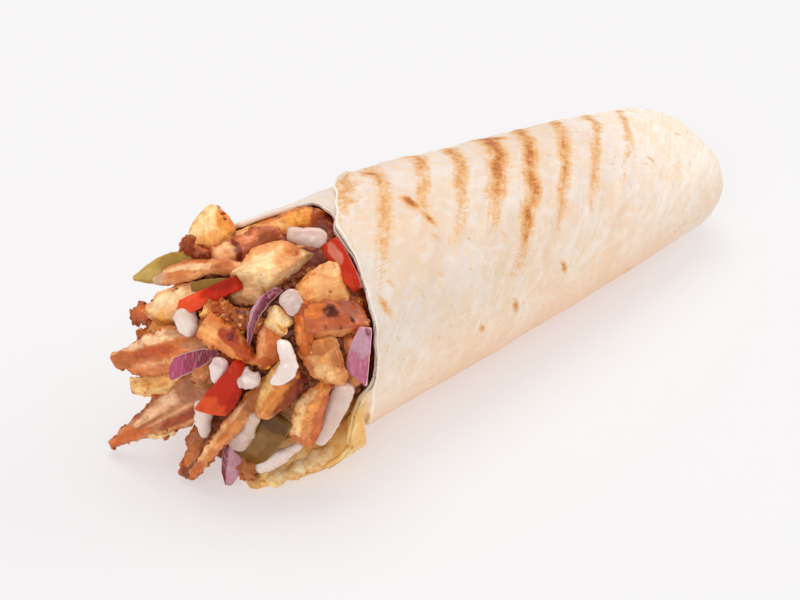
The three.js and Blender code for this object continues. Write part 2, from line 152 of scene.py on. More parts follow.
def roll_point(x, degrees, depth, floor):
    """Points of the roll's oval section, so deep below its outer face and cut off at the floor."""
    walk = np.stack([x + 0 * degrees, 0 * degrees, 0 * degrees], -1)
    near_seam = np.exp(-((((degrees - SEAM + 180) % 360 - 180) / SEAM_STRETCH) ** 2))
    turn = np.radians(degrees + SEAM_WANDER * near_seam * noise(walk, 23, 14))
    part = np.clip(x / ROLL_LENGTH, 0, 1)
    size = [near * (1 - part) ** 2 + 2 * mid * part * (1 - part) + far * part * part
            for near, mid, far in (HALF_WIDTH, HALF_HEIGHT)]
    into = np.clip((x - (ROLL_LENGTH - END_ROUND)) / (END_ROUND - depth), 0, 1)
    close = np.sqrt(1 - into * into)
    swell = SHOULDER * np.exp(-(((x - SHOULDER_X) / SHOULDER_LENGTH) ** 2))
    swell = swell * arc(degrees, SHOULDER_ARC) - depth
    swell = swell - SLUMP * eased(x, *SLUMP_X) * arc(degrees, SLUMP_ARC)
    wide = (size[0] + swell) * (END_FOLD + (1 - END_FOLD) * close)
    high = (size[1] + swell) * close
    z = np.maximum(size[1] - REST_SINK + high * np.sin(turn), floor)
    return np.stack([x + 0 * z, wide * np.cos(turn), z], -1)


def closed_mesh(name, shells):
    """One object from closed lofts. Each shell is (rings, {attribute: values}): its rings are
    joined in order and shut by a point at each end."""
    points, faces, values = [], [], {}
    for rings, layers in shells:
        count, sides = rings.shape[:2]
        poles = rings[[0, -1]].mean(axis=1)
        start = sum(len(p) for p in points)
        at = np.arange(count * sides).reshape(count, sides) + start
        beside = np.roll(at, -1, axis=1)
        quads = np.stack([at[:-1], beside[:-1], beside[1:], at[1:]], -1).reshape(-1, 4).tolist()
        first, last = start + count * sides, start + count * sides + 1
        quads += [[first, b, a] for a, b in zip(at[0].tolist(), beside[0].tolist())]
        quads += [[last, a, b] for a, b in zip(at[-1].tolist(), beside[-1].tolist())]
        flat = rings.reshape(-1, 3)
        a, b, c = flat[at[:-1] - start], flat[beside[:-1] - start], flat[at[1:] - start]
        if np.einsum("...i,...i", a - flat.mean(axis=0), np.cross(b - a, c - a)).sum() < 0:
            quads = [face[::-1] for face in quads]
        points.append(np.concatenate([flat, poles]))
        faces += quads
        for key, value in layers.items():
            value = np.broadcast_to(value, (count, sides) + np.shape(value)[2:])
            ends = value[[0, -1]].mean(axis=1)
            values.setdefault(key, []).append(
                np.concatenate([value.reshape((-1,) + value.shape[2:]), ends]))
    mesh = bpy.data.meshes.new(name)
    points = (np.concatenate(points) + MOUTH) / 1000
    points = np.clip(points, np.array(cad_box[0]) + KEPT_IN, np.array(cad_box[1]) - KEPT_IN)
    mesh.from_pydata(points.tolist(), [], faces)
    for key, value in values.items():
        value = np.concatenate(value).astype(np.float32)
        colour = value.ndim == 2
        layer = mesh.attributes.new(key, "FLOAT_COLOR" if colour else "FLOAT", "POINT")
        layer.data.foreach_set("color" if colour else "value", value.ravel())
    mesh.shade_smooth()
    made = bpy.data.objects.new(name, mesh)
    bpy.context.collection.objects.link(made)
    return made


SHEET_SIDES = 320  # points round the roll
SHEET_STEP = 0.95  # distance between rings along the roll
TIP_ROWS = (15, 50, 90, 130, 165)  # angles of the rings that round a free edge
LUMP_DEPTH = 0.7  # how far the dough sinks between the lumps of the filling
STEAM_DEPTH = 0.24  # the small unevenness of the dough
SWELL_X = (15, 45, 158, 172)  # between these places it may swell too, and elsewhere only sink
PLEAT_DEPTH = 0.2  # faint pleats along the roll
RIB_DEPTH = 0.85  # low ribs where the dough was pressed between the grill's bars,
RIB_ARC = (20, 60, 150, 190)  # between these angles
GATHERS = 7  # pleats where the dough is gathered at the folded end,
GATHER_DEPTH = 1.3  # so deep,
GATHER_X = (163, 176)  # from one of these places to the other
BAR_SLANT = -0.56  # how far bars and ribs run along the roll for each degree down the near side
BAR_SLANT_TOP = -0.36  # and for each degree across the top
CRUMBLE_DEPTH = 1.1  # how deep the soaked lip is eaten away
SOAK_ARC = (182, 200, 292, 330)  # where juice has soaked the lip
FOLD = 6.5  # the lip's inner turn is crumpled up against the filling, so much thicker,
FOLD_ARC = (196, 222, 285, 325)  # between these angles,
FOLD_SLOPE = 0.9  # and its face slopes back so much for each millimetre that it rises

degrees = np.arange(SHEET_SIDES) * 360 / SHEET_SIDES
across = (degrees + 22) % 360 - 22  # the same, counted on past the top without a jump
down_side = np.maximum(across - 90, 0) * BAR_SLANT + np.minimum(across - 90, 0) * BAR_SLANT_TOP
torn = arc(degrees, LIP_ARC)
layer_step = SINGLE_STEP * arc(degrees, SINGLE_ARC) + SHEET * (1 - arc(degrees, SINGLE_ARC))
inner_depth = layer_step + SINGLE_SHEET * arc(degrees, SINGLE_ARC)
inner_depth += SHEET * (1 - arc(degrees, SINGLE_ARC))
fold = FOLD * arc(degrees, FOLD_ARC)
angles = np.radians(degrees)
rim_walk = 34 * np.stack([np.cos(angles), np.sin(angles), 0 * angles], -1)  # a walk round the rim
# Both edges wander a little, and the lip's has uneven teeth where it was torn
outer = around(OUTER_EDGE, degrees) + 0.35 * noise(rim_walk, 4, 1) + 0.15 * noise(rim_walk, 1.3, 2)
teeth = RAGGED * (np.sin(angles * TEETH[0]) + np.sin(angles * TEETH[1]))
teeth += 1.6 * noise(rim_walk, 2.2, 3) + 0.9 * noise(rim_walk, 0.9, 4)
inner = around(INNER_EDGE, degrees) + torn * teeth + 0.3 * noise(rim_walk, 3, 5)
inner = np.minimum(inner, outer - EDGE_LEAD)
# Where the fold behind the outer edge runs, and how deep the outer turn is let in at its seam
ridge = np.maximum(RIDGE_X, outer + RIDGE_BEHIND) + 0.8 * noise(rim_walk, 7, 6)
sink = layer_step * eased(degrees, SEAM_START, SEAM)
body_end = ROLL_LENGTH - END_ROUND


def sheet_ring(x, depth, cut=0.0, relief=1.0):
    """One ring of the sheet, so deep in the roll. cut is 1 on a free edge, and relief says how
    uneven the surface may be."""
    loose = torn * eased(outer - x, *LIP_SAG)
    spread = loose * (layer_step + LIP_FLARE * (1 - eased(degrees, *FLARE_ARC)))
    laid = depth - layer_step + LIP_FLOOR
    rest = roll_point(x, degrees, depth - spread, depth + (laid - depth) * loose)
    sunk = 1 - arc(rest[:, 0], SWELL_X)
    lumps = (sunk + noise(rest, 17, 7)) / 2 * LUMP_DEPTH
    lumps = lumps + (sunk + noise(rest, 5, 8)) / 2 * STEAM_DEPTH
    pleats = (sunk + noise(rest / (12, 1, 1), 3.5, 9)) / 2 * PLEAT_DEPTH
    lay = np.stack([x - down_side, across / 6, 0 * across], -1)
    ribs = noise(lay, 3.4, 12) * 0.6 + noise(lay, 1.6, 13) * 0.4
    pleats = pleats + (sunk + ribs) / 2 * RIB_DEPTH * arc(across, RIB_ARC)
    eaten = (1 + noise(rest, 2.6, 10) * 0.6 + noise(rest, 1.1, 11) * 0.4) / 2 * CRUMBLE_DEPTH
    down = relief * (lumps + pleats + loose * (eaten - lumps))
    pull = np.radians(degrees * GATHERS + 50 * noise(rim_walk, 15, 15))
    down = down + relief * GATHER_DEPTH * (0.5 + 0.5 * np.sin(pull)) ** 2 * eased(x, *GATHER_X)
    # The outer face never sinks as deep as the inner one
    room = np.where(depth < inner_depth - 0.05, 0.8 * (inner_depth - depth), 9.0)
    down = down / (1 + (np.abs(down) / room) ** 4) ** 0.25
    made = roll_point(x, degrees, depth - spread + down, depth + (laid - depth) * loose)
    made[:, 2] += loose * relief * down * (np.sin(angles) < -0.8)  # the lip's underside too
    return made, np.full(SHEET_SIDES, float(cut)), x + 0 * degrees


# The rings run forward from the folded end inside the roll, round the inner turn's edge, back to
# the outer turn's edge, round that, and along the outside to the folded end again
rows = []
for turn in (78, 60, 40, 20):
    inside_x = body_end + (END_ROUND - inner_depth) * math.sin(math.radians(turn))
    rows.append(sheet_ring(inside_x, inner_depth, relief=0))
for part in (1, 0.8, 0.6, 0.4, 0.3, 0.2, 0.14, 0.1):
    deep = inner_depth + fold * (1 - eased(part + 0 * fold, 0.1, 0.3))
    rows.append(sheet_ring(inner + (body_end - inner) * part + fold * FOLD_SLOPE, deep, relief=0))
for part in np.linspace(1, 0, 20):
    x = inner + 0.8 + fold * FOLD_SLOPE * part ** 1.3 + 0.5
    rows.append(sheet_ring(x, inner_depth + fold * part, relief=(0.1 + 1.5 * part) * (fold > 0.3)))
half_sheet = (inner_depth - layer_step) / 2
for turn in TIP_ROWS:
    x = inner + half_sheet * (1 - math.sin(math.radians(turn)))
    depth = layer_step + half_sheet * (1 + math.cos(math.radians(turn)))
    rows.append(sheet_ring(x, depth, cut=1, relief=0.5))
for part in (np.linspace(0, 1, 44) ** 1.2)[1:]:
    rows.append(sheet_ring(inner + (outer - inner) * part, layer_step))
half_step = (layer_step - sink) / 2
for turn in TIP_ROWS:
    x = outer + half_step * (1 - math.sin(math.radians(turn)))
    depth = sink + half_step * (1 + math.cos(math.radians(turn)))
    rows.append(sheet_ring(x, depth, cut=1, relief=0.6))
for part in np.linspace(0, 1, int(body_end / SHEET_STEP)):
    x = outer + 1.0 + (body_end - outer - 1.0) * part
    behind = x - ridge
    climb = np.exp(-((behind / np.where(behind < 0, RIDGE_RISE, RIDGE_DROP)) ** 2))
    rows.append(sheet_ring(x, sink - RIDGE_LIFT * arc(degrees, RIDGE_ARC) * climb))
for turn in np.linspace(0, 88, 26)[1:]:
    rows.append(sheet_ring(body_end + (END_ROUND - sink) * math.sin(math.radians(turn)), sink))
sheet_rings, sheet_cut, sheet_x = (np.stack(row) for row in zip(*rows))

# Toasted marks: grill bars cross the roll aslant, one every BAR_GAP. Each row is the bar's reach
# round the roll, from one angle to another, its strength and its width.
BAR_START = 21.3  # where the first bar crosses the top
BAR_GAP = 15.35
BARS = (
    (56, 122, 0.85, 2.6), (48, 160, 0.62, 3.1), (38, 140, 0.75, 3.2), (27, 150, 0.78, 3.2),
    (34, 150, 1.15, 4.2), (22, 180, 0.95, 3.4), (31, 168, 0.8, 3.0), (46, 168, 0.66, 2.6),
    (58, 156, 0.55, 2.1))
# A bar starts so many degrees before its first angle, is full so many after it, and begins to
# fade so many before its last
BAR_FADE = (8, 26, 52)
# Toasted spots: (x, angle, length along, length round, strength)
SPOTS = (
    (56.6, 181, 1.2, 2.6, 1.0), (78.9, 172, 1.1, 2.4, 0.9), (133.9, 132, 1.0, 2.2, 0.55),
    (155.3, 119, 1.3, 1.6, 0.45), (58.9, 140, 1.0, 1.6, 0.4), (8.1, 149, 1.3, 3.0, 0.75),
    (42.2, 184, 1.0, 1.8, 0.8), (91.6, 74, 4.2, 3.2, 1.2), (69, 141, 2.4, 1.8, 0.9),
    (13, 141, 1.4, 1.4, 0.45), (22, 152, 1.0, 2.2, 0.3), (31, 147, 1.6, 1.2, 0.3),
    (38.4, 77, 2.1, 2.8, 1.4), (36.2, 92, 1.0, 1.5, 0.8), (36.2, 108, 1.9, 2.6, 1.45),
    (37.4, 119, 1.4, 2.6, 1.1), (35.1, 129, 0.8, 1.4, 0.5),
    (52, 14, 1.2, 2.2, 0.7), (84, 25, 1.0, 1.8, 0.9), (101, 3, 1.4, 2.0, 0.6),
    (127, 31, 1.1, 2.4, 0.8), (143, 12, 1.3, 1.6, 0.6), (24, 32, 1.0, 2.0, 0.5),
    (30, -4, 1.2, 1.6, 0.55), (163, 50, 1.4, 1.8, 0.5),
    (118, 214, 1.3, 2.2, 0.6), (66, 222, 1.1, 2.0, 0.55),
    (120.6, 71, 1.7, 2.2, 1.15), (105.6, 70, 1.7, 2.4, 1.15), (151.3, 71, 1.3, 1.6, 1.0))
DEGREE = math.radians(1) * 32  # millimetres round the roll in one degree, on the average
SPOT_LEAN = 0.5  # how far a spot leans along the roll

toast = np.zeros_like(sheet_x)
blotch = noise(sheet_rings, 3.2, 20) * 0.6 + noise(sheet_rings, 1.5, 21) * 0.4
wander = noise(sheet_rings, 9, 22) * 1.6 + noise(sheet_rings, 3, 25) * 0.7
for number, (begin, end, strength, width) in enumerate(BARS):
    off = (sheet_x + wander - (BAR_START + number * BAR_GAP + down_side)) / width
    stretch = (begin - BAR_FADE[0], begin + BAR_FADE[1], end - BAR_FADE[2], end)
    marked = strength * arc(across, stretch) * np.exp(-off * off)
    toast = np.maximum(toast, marked * (1.0 + 0.5 * blotch))
for x, angle, long, wide, strength in SPOTS:
    aside = (across - angle) * DEGREE / wide
    off = ((sheet_x - x - aside * SPOT_LEAN) / long) ** 2 + aside ** 2
    toast = np.maximum(toast, strength * np.exp(-off))
# The crease before the fold and the corner of the free edge caught some heat too
crease = np.exp(-(((sheet_x - ridge + 0.6) / 1.7) ** 2)) * arc(across, (52, 64, 124, 134))
crease *= np.clip(1.1 * noise(sheet_rings, 3.5, 23), 0, 0.5)
corner = np.exp(-(((sheet_x - outer - 4) / 5) ** 2)) * arc(across, (58, 66, 92, 108))
corner *= np.clip(0.25 + 0.9 * noise(sheet_rings, 3.5, 24), 0, 0.8)
toast = np.maximum(toast, np.maximum(crease, corner))
toast *= (sheet_x > outer + 0.6) * (1 - sheet_cut)
oil = arc(degrees, SOAK_ARC) * eased(outer - sheet_x, -0.4, 1.6)
low = 1 - eased(sheet_rings[..., 2], 4, 34)  # 1 by the table, and 0 from halfway up

sheet = closed_mesh("flatbread_sheet", [(sheet_rings, {
    "toast": toast, "cut": sheet_cut, "oil": oil, "low": low,
    "lay": sheet_x - down_side, "turn": across * 0.6 + 0 * sheet_x})])


def paint(code):
    """A colour given in the usual hex way, as linear light."""
    parts = [int(code[i:i + 2], 16) / 255 for i in (1, 3, 5)]
    return tuple(c / 12.92 if c < 0.04045 else ((c + 0.055) / 1.055) ** 2.4 for c in parts) + (1,)


def add(tree, kind, inputs=None, out=0, **settings):
    """Adds a node, sets it up, fills its inputs and gives the output that is asked for. An input
    that is another node's output is linked."""
    node = tree.nodes.new(kind)
    for key, value in settings.items():
        setattr(node, key, value)
    for key, value in (inputs or {}).items():
        if isinstance(value, bpy.types.NodeSocket):
            tree.links.new(value, node.inputs[key])
        else:
            node.inputs[key].default_value = value
    return node.outputs[out]


def finish(name, **shader):
    """A new material: its node tree and its shader, set up with plain values."""
    made = bpy.data.materials.new(name)
    made.use_nodes = True
    tree = made.node_tree
    bsdf = tree.nodes["Principled BSDF"]
    for key, value in shader.items():
        bsdf.inputs[key.replace("_", " ")].default_value = value
    return made, tree, bsdf


def pattern(tree, size, detail=3.0, stretch=(1, 1, 1), shift=0.0):
    """Noise on the object's own places, whose blotches are so many millimetres across."""
    where = add(tree, "ShaderNodeTexCoord", out="Object")
    scale = tuple(1000 / size / s for s in stretch)
    where = add(tree, "ShaderNodeVectorMath", {0: where, 1: scale, 2: (shift,) * 3},
                operation="MULTIPLY_ADD")
    return add(tree, "ShaderNodeTexNoise", {"Vector": where, "Scale": 1.0, "Detail": detail})


def grained(tree, names, stretch, scale=1.0, detail=3.0, distortion=0.0):
    """Noise that follows two attributes of the mesh, each times its own stretch."""
    places = {}
    for number, (name, times) in enumerate(zip(names, stretch)):
        place = add(tree, "ShaderNodeAttribute", out="Fac", attribute_name=name)
        places[number] = add(tree, "ShaderNodeMath", {0: place, 1: times}, operation="MULTIPLY")
    return add(tree, "ShaderNodeTexNoise", {
        "Vector": add(tree, "ShaderNodeCombineXYZ", places), "Scale": scale, "Detail": detail,
        "Distortion": distortion})


def tinted(tree, colour, tint, field, start, full, after=1.0, before=0.0, only=None, how="MIX"):
    """Lays a tint over a colour. Its share eases from before to after as the field goes from start
    to full, and is then taken only so far as another field says."""
    share = add(tree, "ShaderNodeMapRange", {0: field, 1: start, 2: full, 3: before, 4: after},
                interpolation_type="SMOOTHSTEP")
    if only:
        share = add(tree, "ShaderNodeMath", {0: share, 1: only}, operation="MULTIPLY")
    return add(tree, "ShaderNodeMix", {0: share, 6: colour, 7: tint}, out=2, data_type="RGBA",
               blend_type=how)


def strayed(tree, value, *fields):
    """A value from which each field strays to both sides, by half its own strength at most."""
    for field, strength in fields:
        off = add(tree, "ShaderNodeMath", {0: field, 1: strength, 2: -strength / 2},
                  operation="MULTIPLY_ADD")
        value = add(tree, "ShaderNodeMath", {0: value, 1: off}, operation="ADD")
    return value


def bumped(tree, bsdf, distance, strength, *fields):
    """Makes the surface uneven: its height is the sum of the fields, each times its own share, and
    a height of 1 is so many millimetres."""
    height = 0.0
    for field, share in fields:
        height = add(tree, "ShaderNodeMath", {0: field, 1: share, 2: height},
                     operation="MULTIPLY_ADD")
    bump = add(tree, "ShaderNodeBump", {"Height": height, "Distance": distance / 1000,
                                        "Strength": strength})
    tree.links.new(bump, bsdf.inputs["Normal"])


# Thin wheat dough, griddled: cream, floury and matte, golden to brown where it touched the bars.
# Its mottling, flour and pores are drawn a little coarser than real ones, so that they show.
dough, tree, bsdf = finish("griddled_flatbread", Roughness=0.72, Subsurface_Weight=0.12,
                           Subsurface_Scale=0.002, Subsurface_Radius=(1.0, 0.6, 0.35),
                           Specular_IOR_Level=0.3, Sheen_Weight=0.08)
cream = tinted(tree, paint("#f5e7d8"), paint("#f4dac0"), pattern(tree, 22, 2), 0.35, 0.65)
flour = pattern(tree, 2.6, 5, (1.6, 1, 1))
cream = tinted(tree, cream, paint("#f9efe4"), flour, 0.46, 0.68, 0.55)
cream = tinted(tree, cream, paint("#f3d0a6"), pattern(tree, 6, 5, shift=5), 0.5, 0.72, 0.42)
# Painted shade: low down, the crust is painted a darker, warmer peach, standing in for shade and
# the warm light thrown up from the table, less so towards the folded end. Places are in metres.
place = add(tree, "ShaderNodeTexCoord", out="Object")
place = add(tree, "ShaderNodeSeparateXYZ", {0: place}).node.outputs
low_down = add(tree, "ShaderNodeAttribute", out="Fac", attribute_name="low")
fading = add(tree, "ShaderNodeMapRange", {0: place["X"], 1: 0.045, 2: 0.09, 3: 0.85, 4: 0.4},
             interpolation_type="SMOOTHSTEP")
blush = add(tree, "ShaderNodeMath", {0: low_down, 1: fading}, operation="MULTIPLY")
cream = add(tree, "ShaderNodeMix", {0: blush, 6: cream, 7: paint("#efc49c")}, out=2,
            data_type="RGBA")
# Painted light and shade: the dough is painted darker on top, where the lamps fall strongest, a
# little lighter low down, and palest at the folded end, which lies in shade
baked = tinted(tree, (1.05, 1.02, 1.0, 1), (0.85, 0.86, 0.9, 1), place["Z"], 0.024, 0.05)
baked = tinted(tree, baked, (1.0, 1.05, 1.1, 1), place["X"], 0.045, 0.09)
cream = add(tree, "ShaderNodeMix", {0: 1.0, 6: cream, 7: baked}, out=2, data_type="RGBA",
            blend_type="MULTIPLY")
cream = tinted(tree, cream, paint("#d9bf98"), pattern(tree, 1.9, 4, shift=7), 0.52, 0.66, 0.2)
# Streaks that run the way of the grill's bars, then scattered specks
streaks = grained(tree, ("lay", "turn"), (1.0, 0.16), 0.75, 4.0)
on_top = add(tree, "ShaderNodeMath", {0: 1.0, 1: low_down}, operation="SUBTRACT")
cream = tinted(tree, cream, paint("#eecb98"), streaks, 0.47, 0.66, 0.4, only=on_top)
patchy = pattern(tree, 12, 2, shift=3)
patchy = add(tree, "ShaderNodeMapRange", {0: patchy, 1: 0.45, 2: 0.6, 4: 0.6},
             interpolation_type="SMOOTHSTEP")
cream = tinted(tree, cream, paint("#d89c64"), pattern(tree, 1.3, 2, shift=9), 0.64, 0.72,
               only=patchy)
# Under a bar the scorching is broken up, most of all into short rungs from side to side
toasty = add(tree, "ShaderNodeAttribute", out="Fac", attribute_name="toast")
rungs = grained(tree, ("lay", "turn"), (0.42, 1.5))
scorch = strayed(tree, 0.0, (pattern(tree, 1.6, 3), 0.8), (streaks, 0.7), (rungs, 0.9))
under_bar = add(tree, "ShaderNodeMapRange", {0: toasty, 1: 0.05, 2: 0.3},
                interpolation_type="SMOOTHSTEP")
scorch = add(tree, "ShaderNodeMath", {0: scorch, 1: under_bar}, operation="MULTIPLY")
toasty = add(tree, "ShaderNodeMath", {0: toasty, 1: scorch}, operation="ADD")
for tone, start, full, share in (("#e2b074", 0.06, 0.5, 0.8), ("#d28a3e", 0.42, 0.9, 0.8),
                                 ("#b26022", 0.78, 1.2, 0.9)):
    cream = tinted(tree, cream, paint(tone), toasty, start, full, share)
# A free edge is untoasted
cut = add(tree, "ShaderNodeAttribute", out="Fac", attribute_name="cut")
cream = add(tree, "ShaderNodeMix", {0: cut, 6: cream, 7: paint("#fbeedd")}, out=2,
            data_type="RGBA")
# Juice and fat have soaked the lip: deeper in colour, clearer and a little shiny
soak = add(tree, "ShaderNodeAttribute", out="Fac", attribute_name="oil")
soaked = tinted(tree, paint("#fcd890"), paint("#f4b862"), pattern(tree, 4.5, 4, shift=2), 0.35,
                0.66)
soaked = tinted(tree, soaked, paint("#dc9a50"), pattern(tree, 1.6, 4, shift=4), 0.56, 0.72, 0.5)
cream = add(tree, "ShaderNodeMix", {0: soak, 6: cream, 7: soaked}, out=2, data_type="RGBA")
tree.links.new(cream, bsdf.inputs["Base Color"])
shine = add(tree, "ShaderNodeMapRange", {0: soak, 1: 0.1, 2: 0.9, 3: 0.72, 4: 0.42},
            interpolation_type="SMOOTHSTEP")
tree.links.new(shine, bsdf.inputs["Roughness"])
# Blisters, streaks and pores
bumped(tree, bsdf, 0.5, 0.7, (pattern(tree, 3.5, 3), 0.5), (streaks, 0.5),
       (pattern(tree, 0.9, 5), 0.4))
sheet.data.materials.append(dough)
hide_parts("flatbread")
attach(sheet, "root")

# ------------------------------------------------------------------------------------------------
# Shaved chicken: thin slices cut off a grilled spit, torn and creased, creamy inside and orange
# to dark brown where they were seared. They lie every way on a packed heap that fills the roll.
# ------------------------------------------------------------------------------------------------
OUT = (-0.6, -0.6, 0.53)  # ways that broad faces look: out of the mouth to its near side,
FAR = (-0.45, 0.85, 0.15)  # to its far side,
UP = (-0.3, 0.0, 0.95)  # and up
# Tones from the creamy inside to the seared outside
PALE, PEACH, GOLD = "#eecb9c", "#eeb47a", "#eda042"
AMBER, TAN, ROSE, RUST = "#c8662a", "#c58a5a", "#b2644a", "#a64a22"
BROWN, DARK, LIVER = "#84401c", "#4a2212", "#6e2414"

# What a slice is like, unless its own row says otherwise
SLICE = dict(
    face=OUT,  # the way its broad face looks
    shape=(0.8, 1, 1, 0.65),  # its half widths from root to tip, or left and right for each side
    reach=(1.24, 1.24),  # how far it goes before and past its middle, in half lengths
    blunt=1.2,  # length over which its ends round off
    square=4.5,  # how boxy its section is: 2 is an oval
    thin=0.55,  # how much of its thickness is gone at its sides
    bend=0.0,  # how far its middle stands out from its ends,
    curl=0.0,  # and its sides from its middle
    twist=0.0,  # how far its sides turn from root to tip
    skew=(0, 0),  # how far it strays aside, from root to tip
    slant=0.0,  # how far askew its tip is cut
    crumple=0.7,  # how far it bows in and out as a whole
    tear=0.95,  # how ragged its sides are
    relief=0.6,  # how high its bumps are
    fibre=0.16,  # height of the grain that runs along it
    facets=0,  # how many flat places it has
    patches=(),  # each is (place along, place across, reach along, reach across, colour)
    rim="#e09850",  # tint of its edges
    rimmed=0.35,  # and how strong that is
    depth=0.4,  # how much painted shade darkens its hollows
    crisp=0.3,  # how browned its edges are,
    seared=0.0)  # and how browned all of it is


def strip(piece, rings=84, broad=28):
    """A bent, torn slab from root to tip, of so many rings with so many points over its face.
    Gives its points, the place of each from -1 to 1 along and aside, how near it is to an edge,
    its bumps, its grain and its place among the fibres."""
    root, tip = np.array(piece["root"], float), np.array(piece["tip"], float)
    length = np.linalg.norm(tip - root)
    way = (tip - root) / length
    side = np.cross(way, piece["face"])
    side /= np.linalg.norm(side)
    up = np.cross(side, way)
    seed, width, thick, reach = piece["seed"], piece["width"], piece["thick"], piece["reach"]
    even = np.linspace(0.012, 0.988, rings)
    part = even + 0.35 * np.sin(2 * np.pi * even) / (-2 * np.pi)  # rings lie closer at both ends
    along = -reach[0] + (reach[0] + reach[1]) * part
    ahead = along[:, None]
    aside = np.sin(np.linspace(-np.pi / 2, np.pi / 2, broad))
    aside = np.concatenate([aside, aside[-2:0:-1]])
    above = (1 - np.minimum(np.abs(aside), 1) ** piece["square"]) ** (1 / piece["square"])
    above *= np.where(np.arange(len(aside)) < broad, 1.0, -1.0)

    # The outline, torn along both sides and rounded at both ends
    walk = np.stack([part * length * 1.2, 0 * part, 0 * part + seed * 7.3], -1)
    edges = []
    for key, lane in (("left", 0), ("right", 50)):  # lane keeps the two sides' noise apart
        row = piece.get(key, piece["shape"])
        rip = noise(walk + (0, lane, 0), 2.6) * 0.5 + noise(walk + (0, lane, 9), 1.1) * 0.35
        rip += noise(walk + (0, lane, 19), 0.55) * 0.25
        reached = np.interp(part, np.linspace(0, 1, len(row)), row)
        edges.append(reached * width / 2 + piece["tear"] * rip)
    half = np.where(aside >= 0, edges[1][:, None], edges[0][:, None])
    to_end = np.minimum(part, 1 - part) * length * 1.2 / piece["blunt"]
    end = np.sqrt(np.clip(1 - (1 - np.clip(to_end, 0, 1)) ** 2, 0, 1))
    half = np.maximum(half * end[:, None] ** 0.6, 0.06)

    # Its height: the section, then all that bends it
    plane = np.stack([ahead * length / 2 + 0 * half, aside * half, 0 * half + seed * 3.7], -1)
    thin = 1 - piece["thin"] * aside ** 2
    rise = above * thick / 2 * thin * end[:, None] ** 0.7 + piece["crumple"] * noise(plane, 6, seed)
    rise = rise + piece["curl"] * aside * aside + piece["bend"] * (1 - ahead ** 2)
    rise = rise + piece["twist"] * ahead * aside
    grain = noise(plane / (7, 1.1, 1), 1, seed + 3) * 0.6
    grain = grain + noise(plane / (3, 0.6, 1), 1, seed + 4) * 0.4
    rise = rise + piece["fibre"] * grain * above * 1.6
    stray = np.interp(part, np.linspace(0, 1, len(piece["skew"])), piece["skew"])
    slant = piece["slant"] * np.clip(ahead, 0, None) * aside
    flat = np.stack([ahead * length / 2 + slant, half * aside + stray[:, None], rise], -1)

    # Flat places, each pressed in from a way of its own
    size = np.array((length / 2, width / 2, thick / 2))
    for number in range(piece["facets"]):
        turn = 2 * math.pi * (number * 0.382 + seed * 0.17)
        tilt = 0.5 + 0.5 * abs(math.sin(seed * 3.1 + number * 1.7))
        normal = np.array((math.cos(turn) * math.sin(tilt), math.sin(turn) * math.sin(tilt),
                           math.cos(tilt)))
        kept = np.linalg.norm(size * normal) * (0.62 + 0.16 * math.cos(seed + number * 2.3))
        flat = flat - np.clip(flat @ normal - kept, 0, None)[..., None] * normal * 0.85
    points = (root + tip) / 2 + flat @ np.stack([way, side, up])

    # Small bumps, highest near the edges
    out = up * (above * half)[..., None] + side * (aside * thick)[..., None]
    out /= np.linalg.norm(out, axis=-1, keepdims=True) + 1e-9
    bumps = noise(points, 3.4, seed) * 0.42 + noise(points, 1.5, seed + 1) * 0.34
    bumps = bumps + noise(points, 0.75, seed + 2) * 0.24 + noise(points, 0.4, seed + 5) * 0.1
    edge = np.maximum(np.abs(aside)[None, :] ** 5, 1 - to_end.clip(0, 1)[:, None])
    rough = piece["relief"] * (0.6 + 0.4 * edge) * end[:, None] ** 0.5
    points = points + out * (bumps * rough)[..., None]
    fibres = np.stack([ahead * length / 2 + 0 * half, half * aside], -1) + seed * 19
    return points, ahead + 0 * half, aside + 0 * half, edge, bumps, grain, fibres


def heap(name, pieces, **fineness):
    """Joins strips into one object, each painted with its own colours."""
    shells = []
    for piece in ({**SLICE, **piece} for piece in pieces):
        points, along, aside, edge, bumps, grain, fibres = strip(piece, **fineness)
        blotch = noise(points, 2.6, 60) * 0.6 + noise(points, 1.1, 61) * 0.4
        colour = np.broadcast_to(np.array(paint(piece["colour"])), along.shape + (4,))
        for at, off, long, wide, code in piece["patches"]:
            share = 1 - ((along - at) / long) ** 2 - ((aside - off) / wide) ** 2
            share = eased(share + 0.75 * blotch, -0.1, 0.55)[..., None]
            colour = colour * (1 - share) + np.array(paint(code)) * share
        rim = eased(edge + 0.55 * blotch, 0.3, 0.95)[..., None] * piece["rimmed"]
        colour = colour * (1 - rim) + colour * np.array(paint(piece["rim"])) * rim
        # Painted shade and light: hollows are painted darker and redder, and what stands out
        # is painted lighter and paler
        hollow = 1 + piece["depth"] * (bumps * 0.9 + grain * 0.35)[..., None]
        colour = colour * np.clip(hollow, 0.45, 1.6) ** np.array((0.7, 1.0, 1.25, 0))
        crisp = piece["crisp"] * edge + piece["seared"] + 0.25 * blotch
        shells.append((points, {"colour": colour, "crisp": crisp, "edge": edge,
                                "along": fibres[..., 0], "across": fibres[..., 1]}))
    return closed_mesh(name, shells)


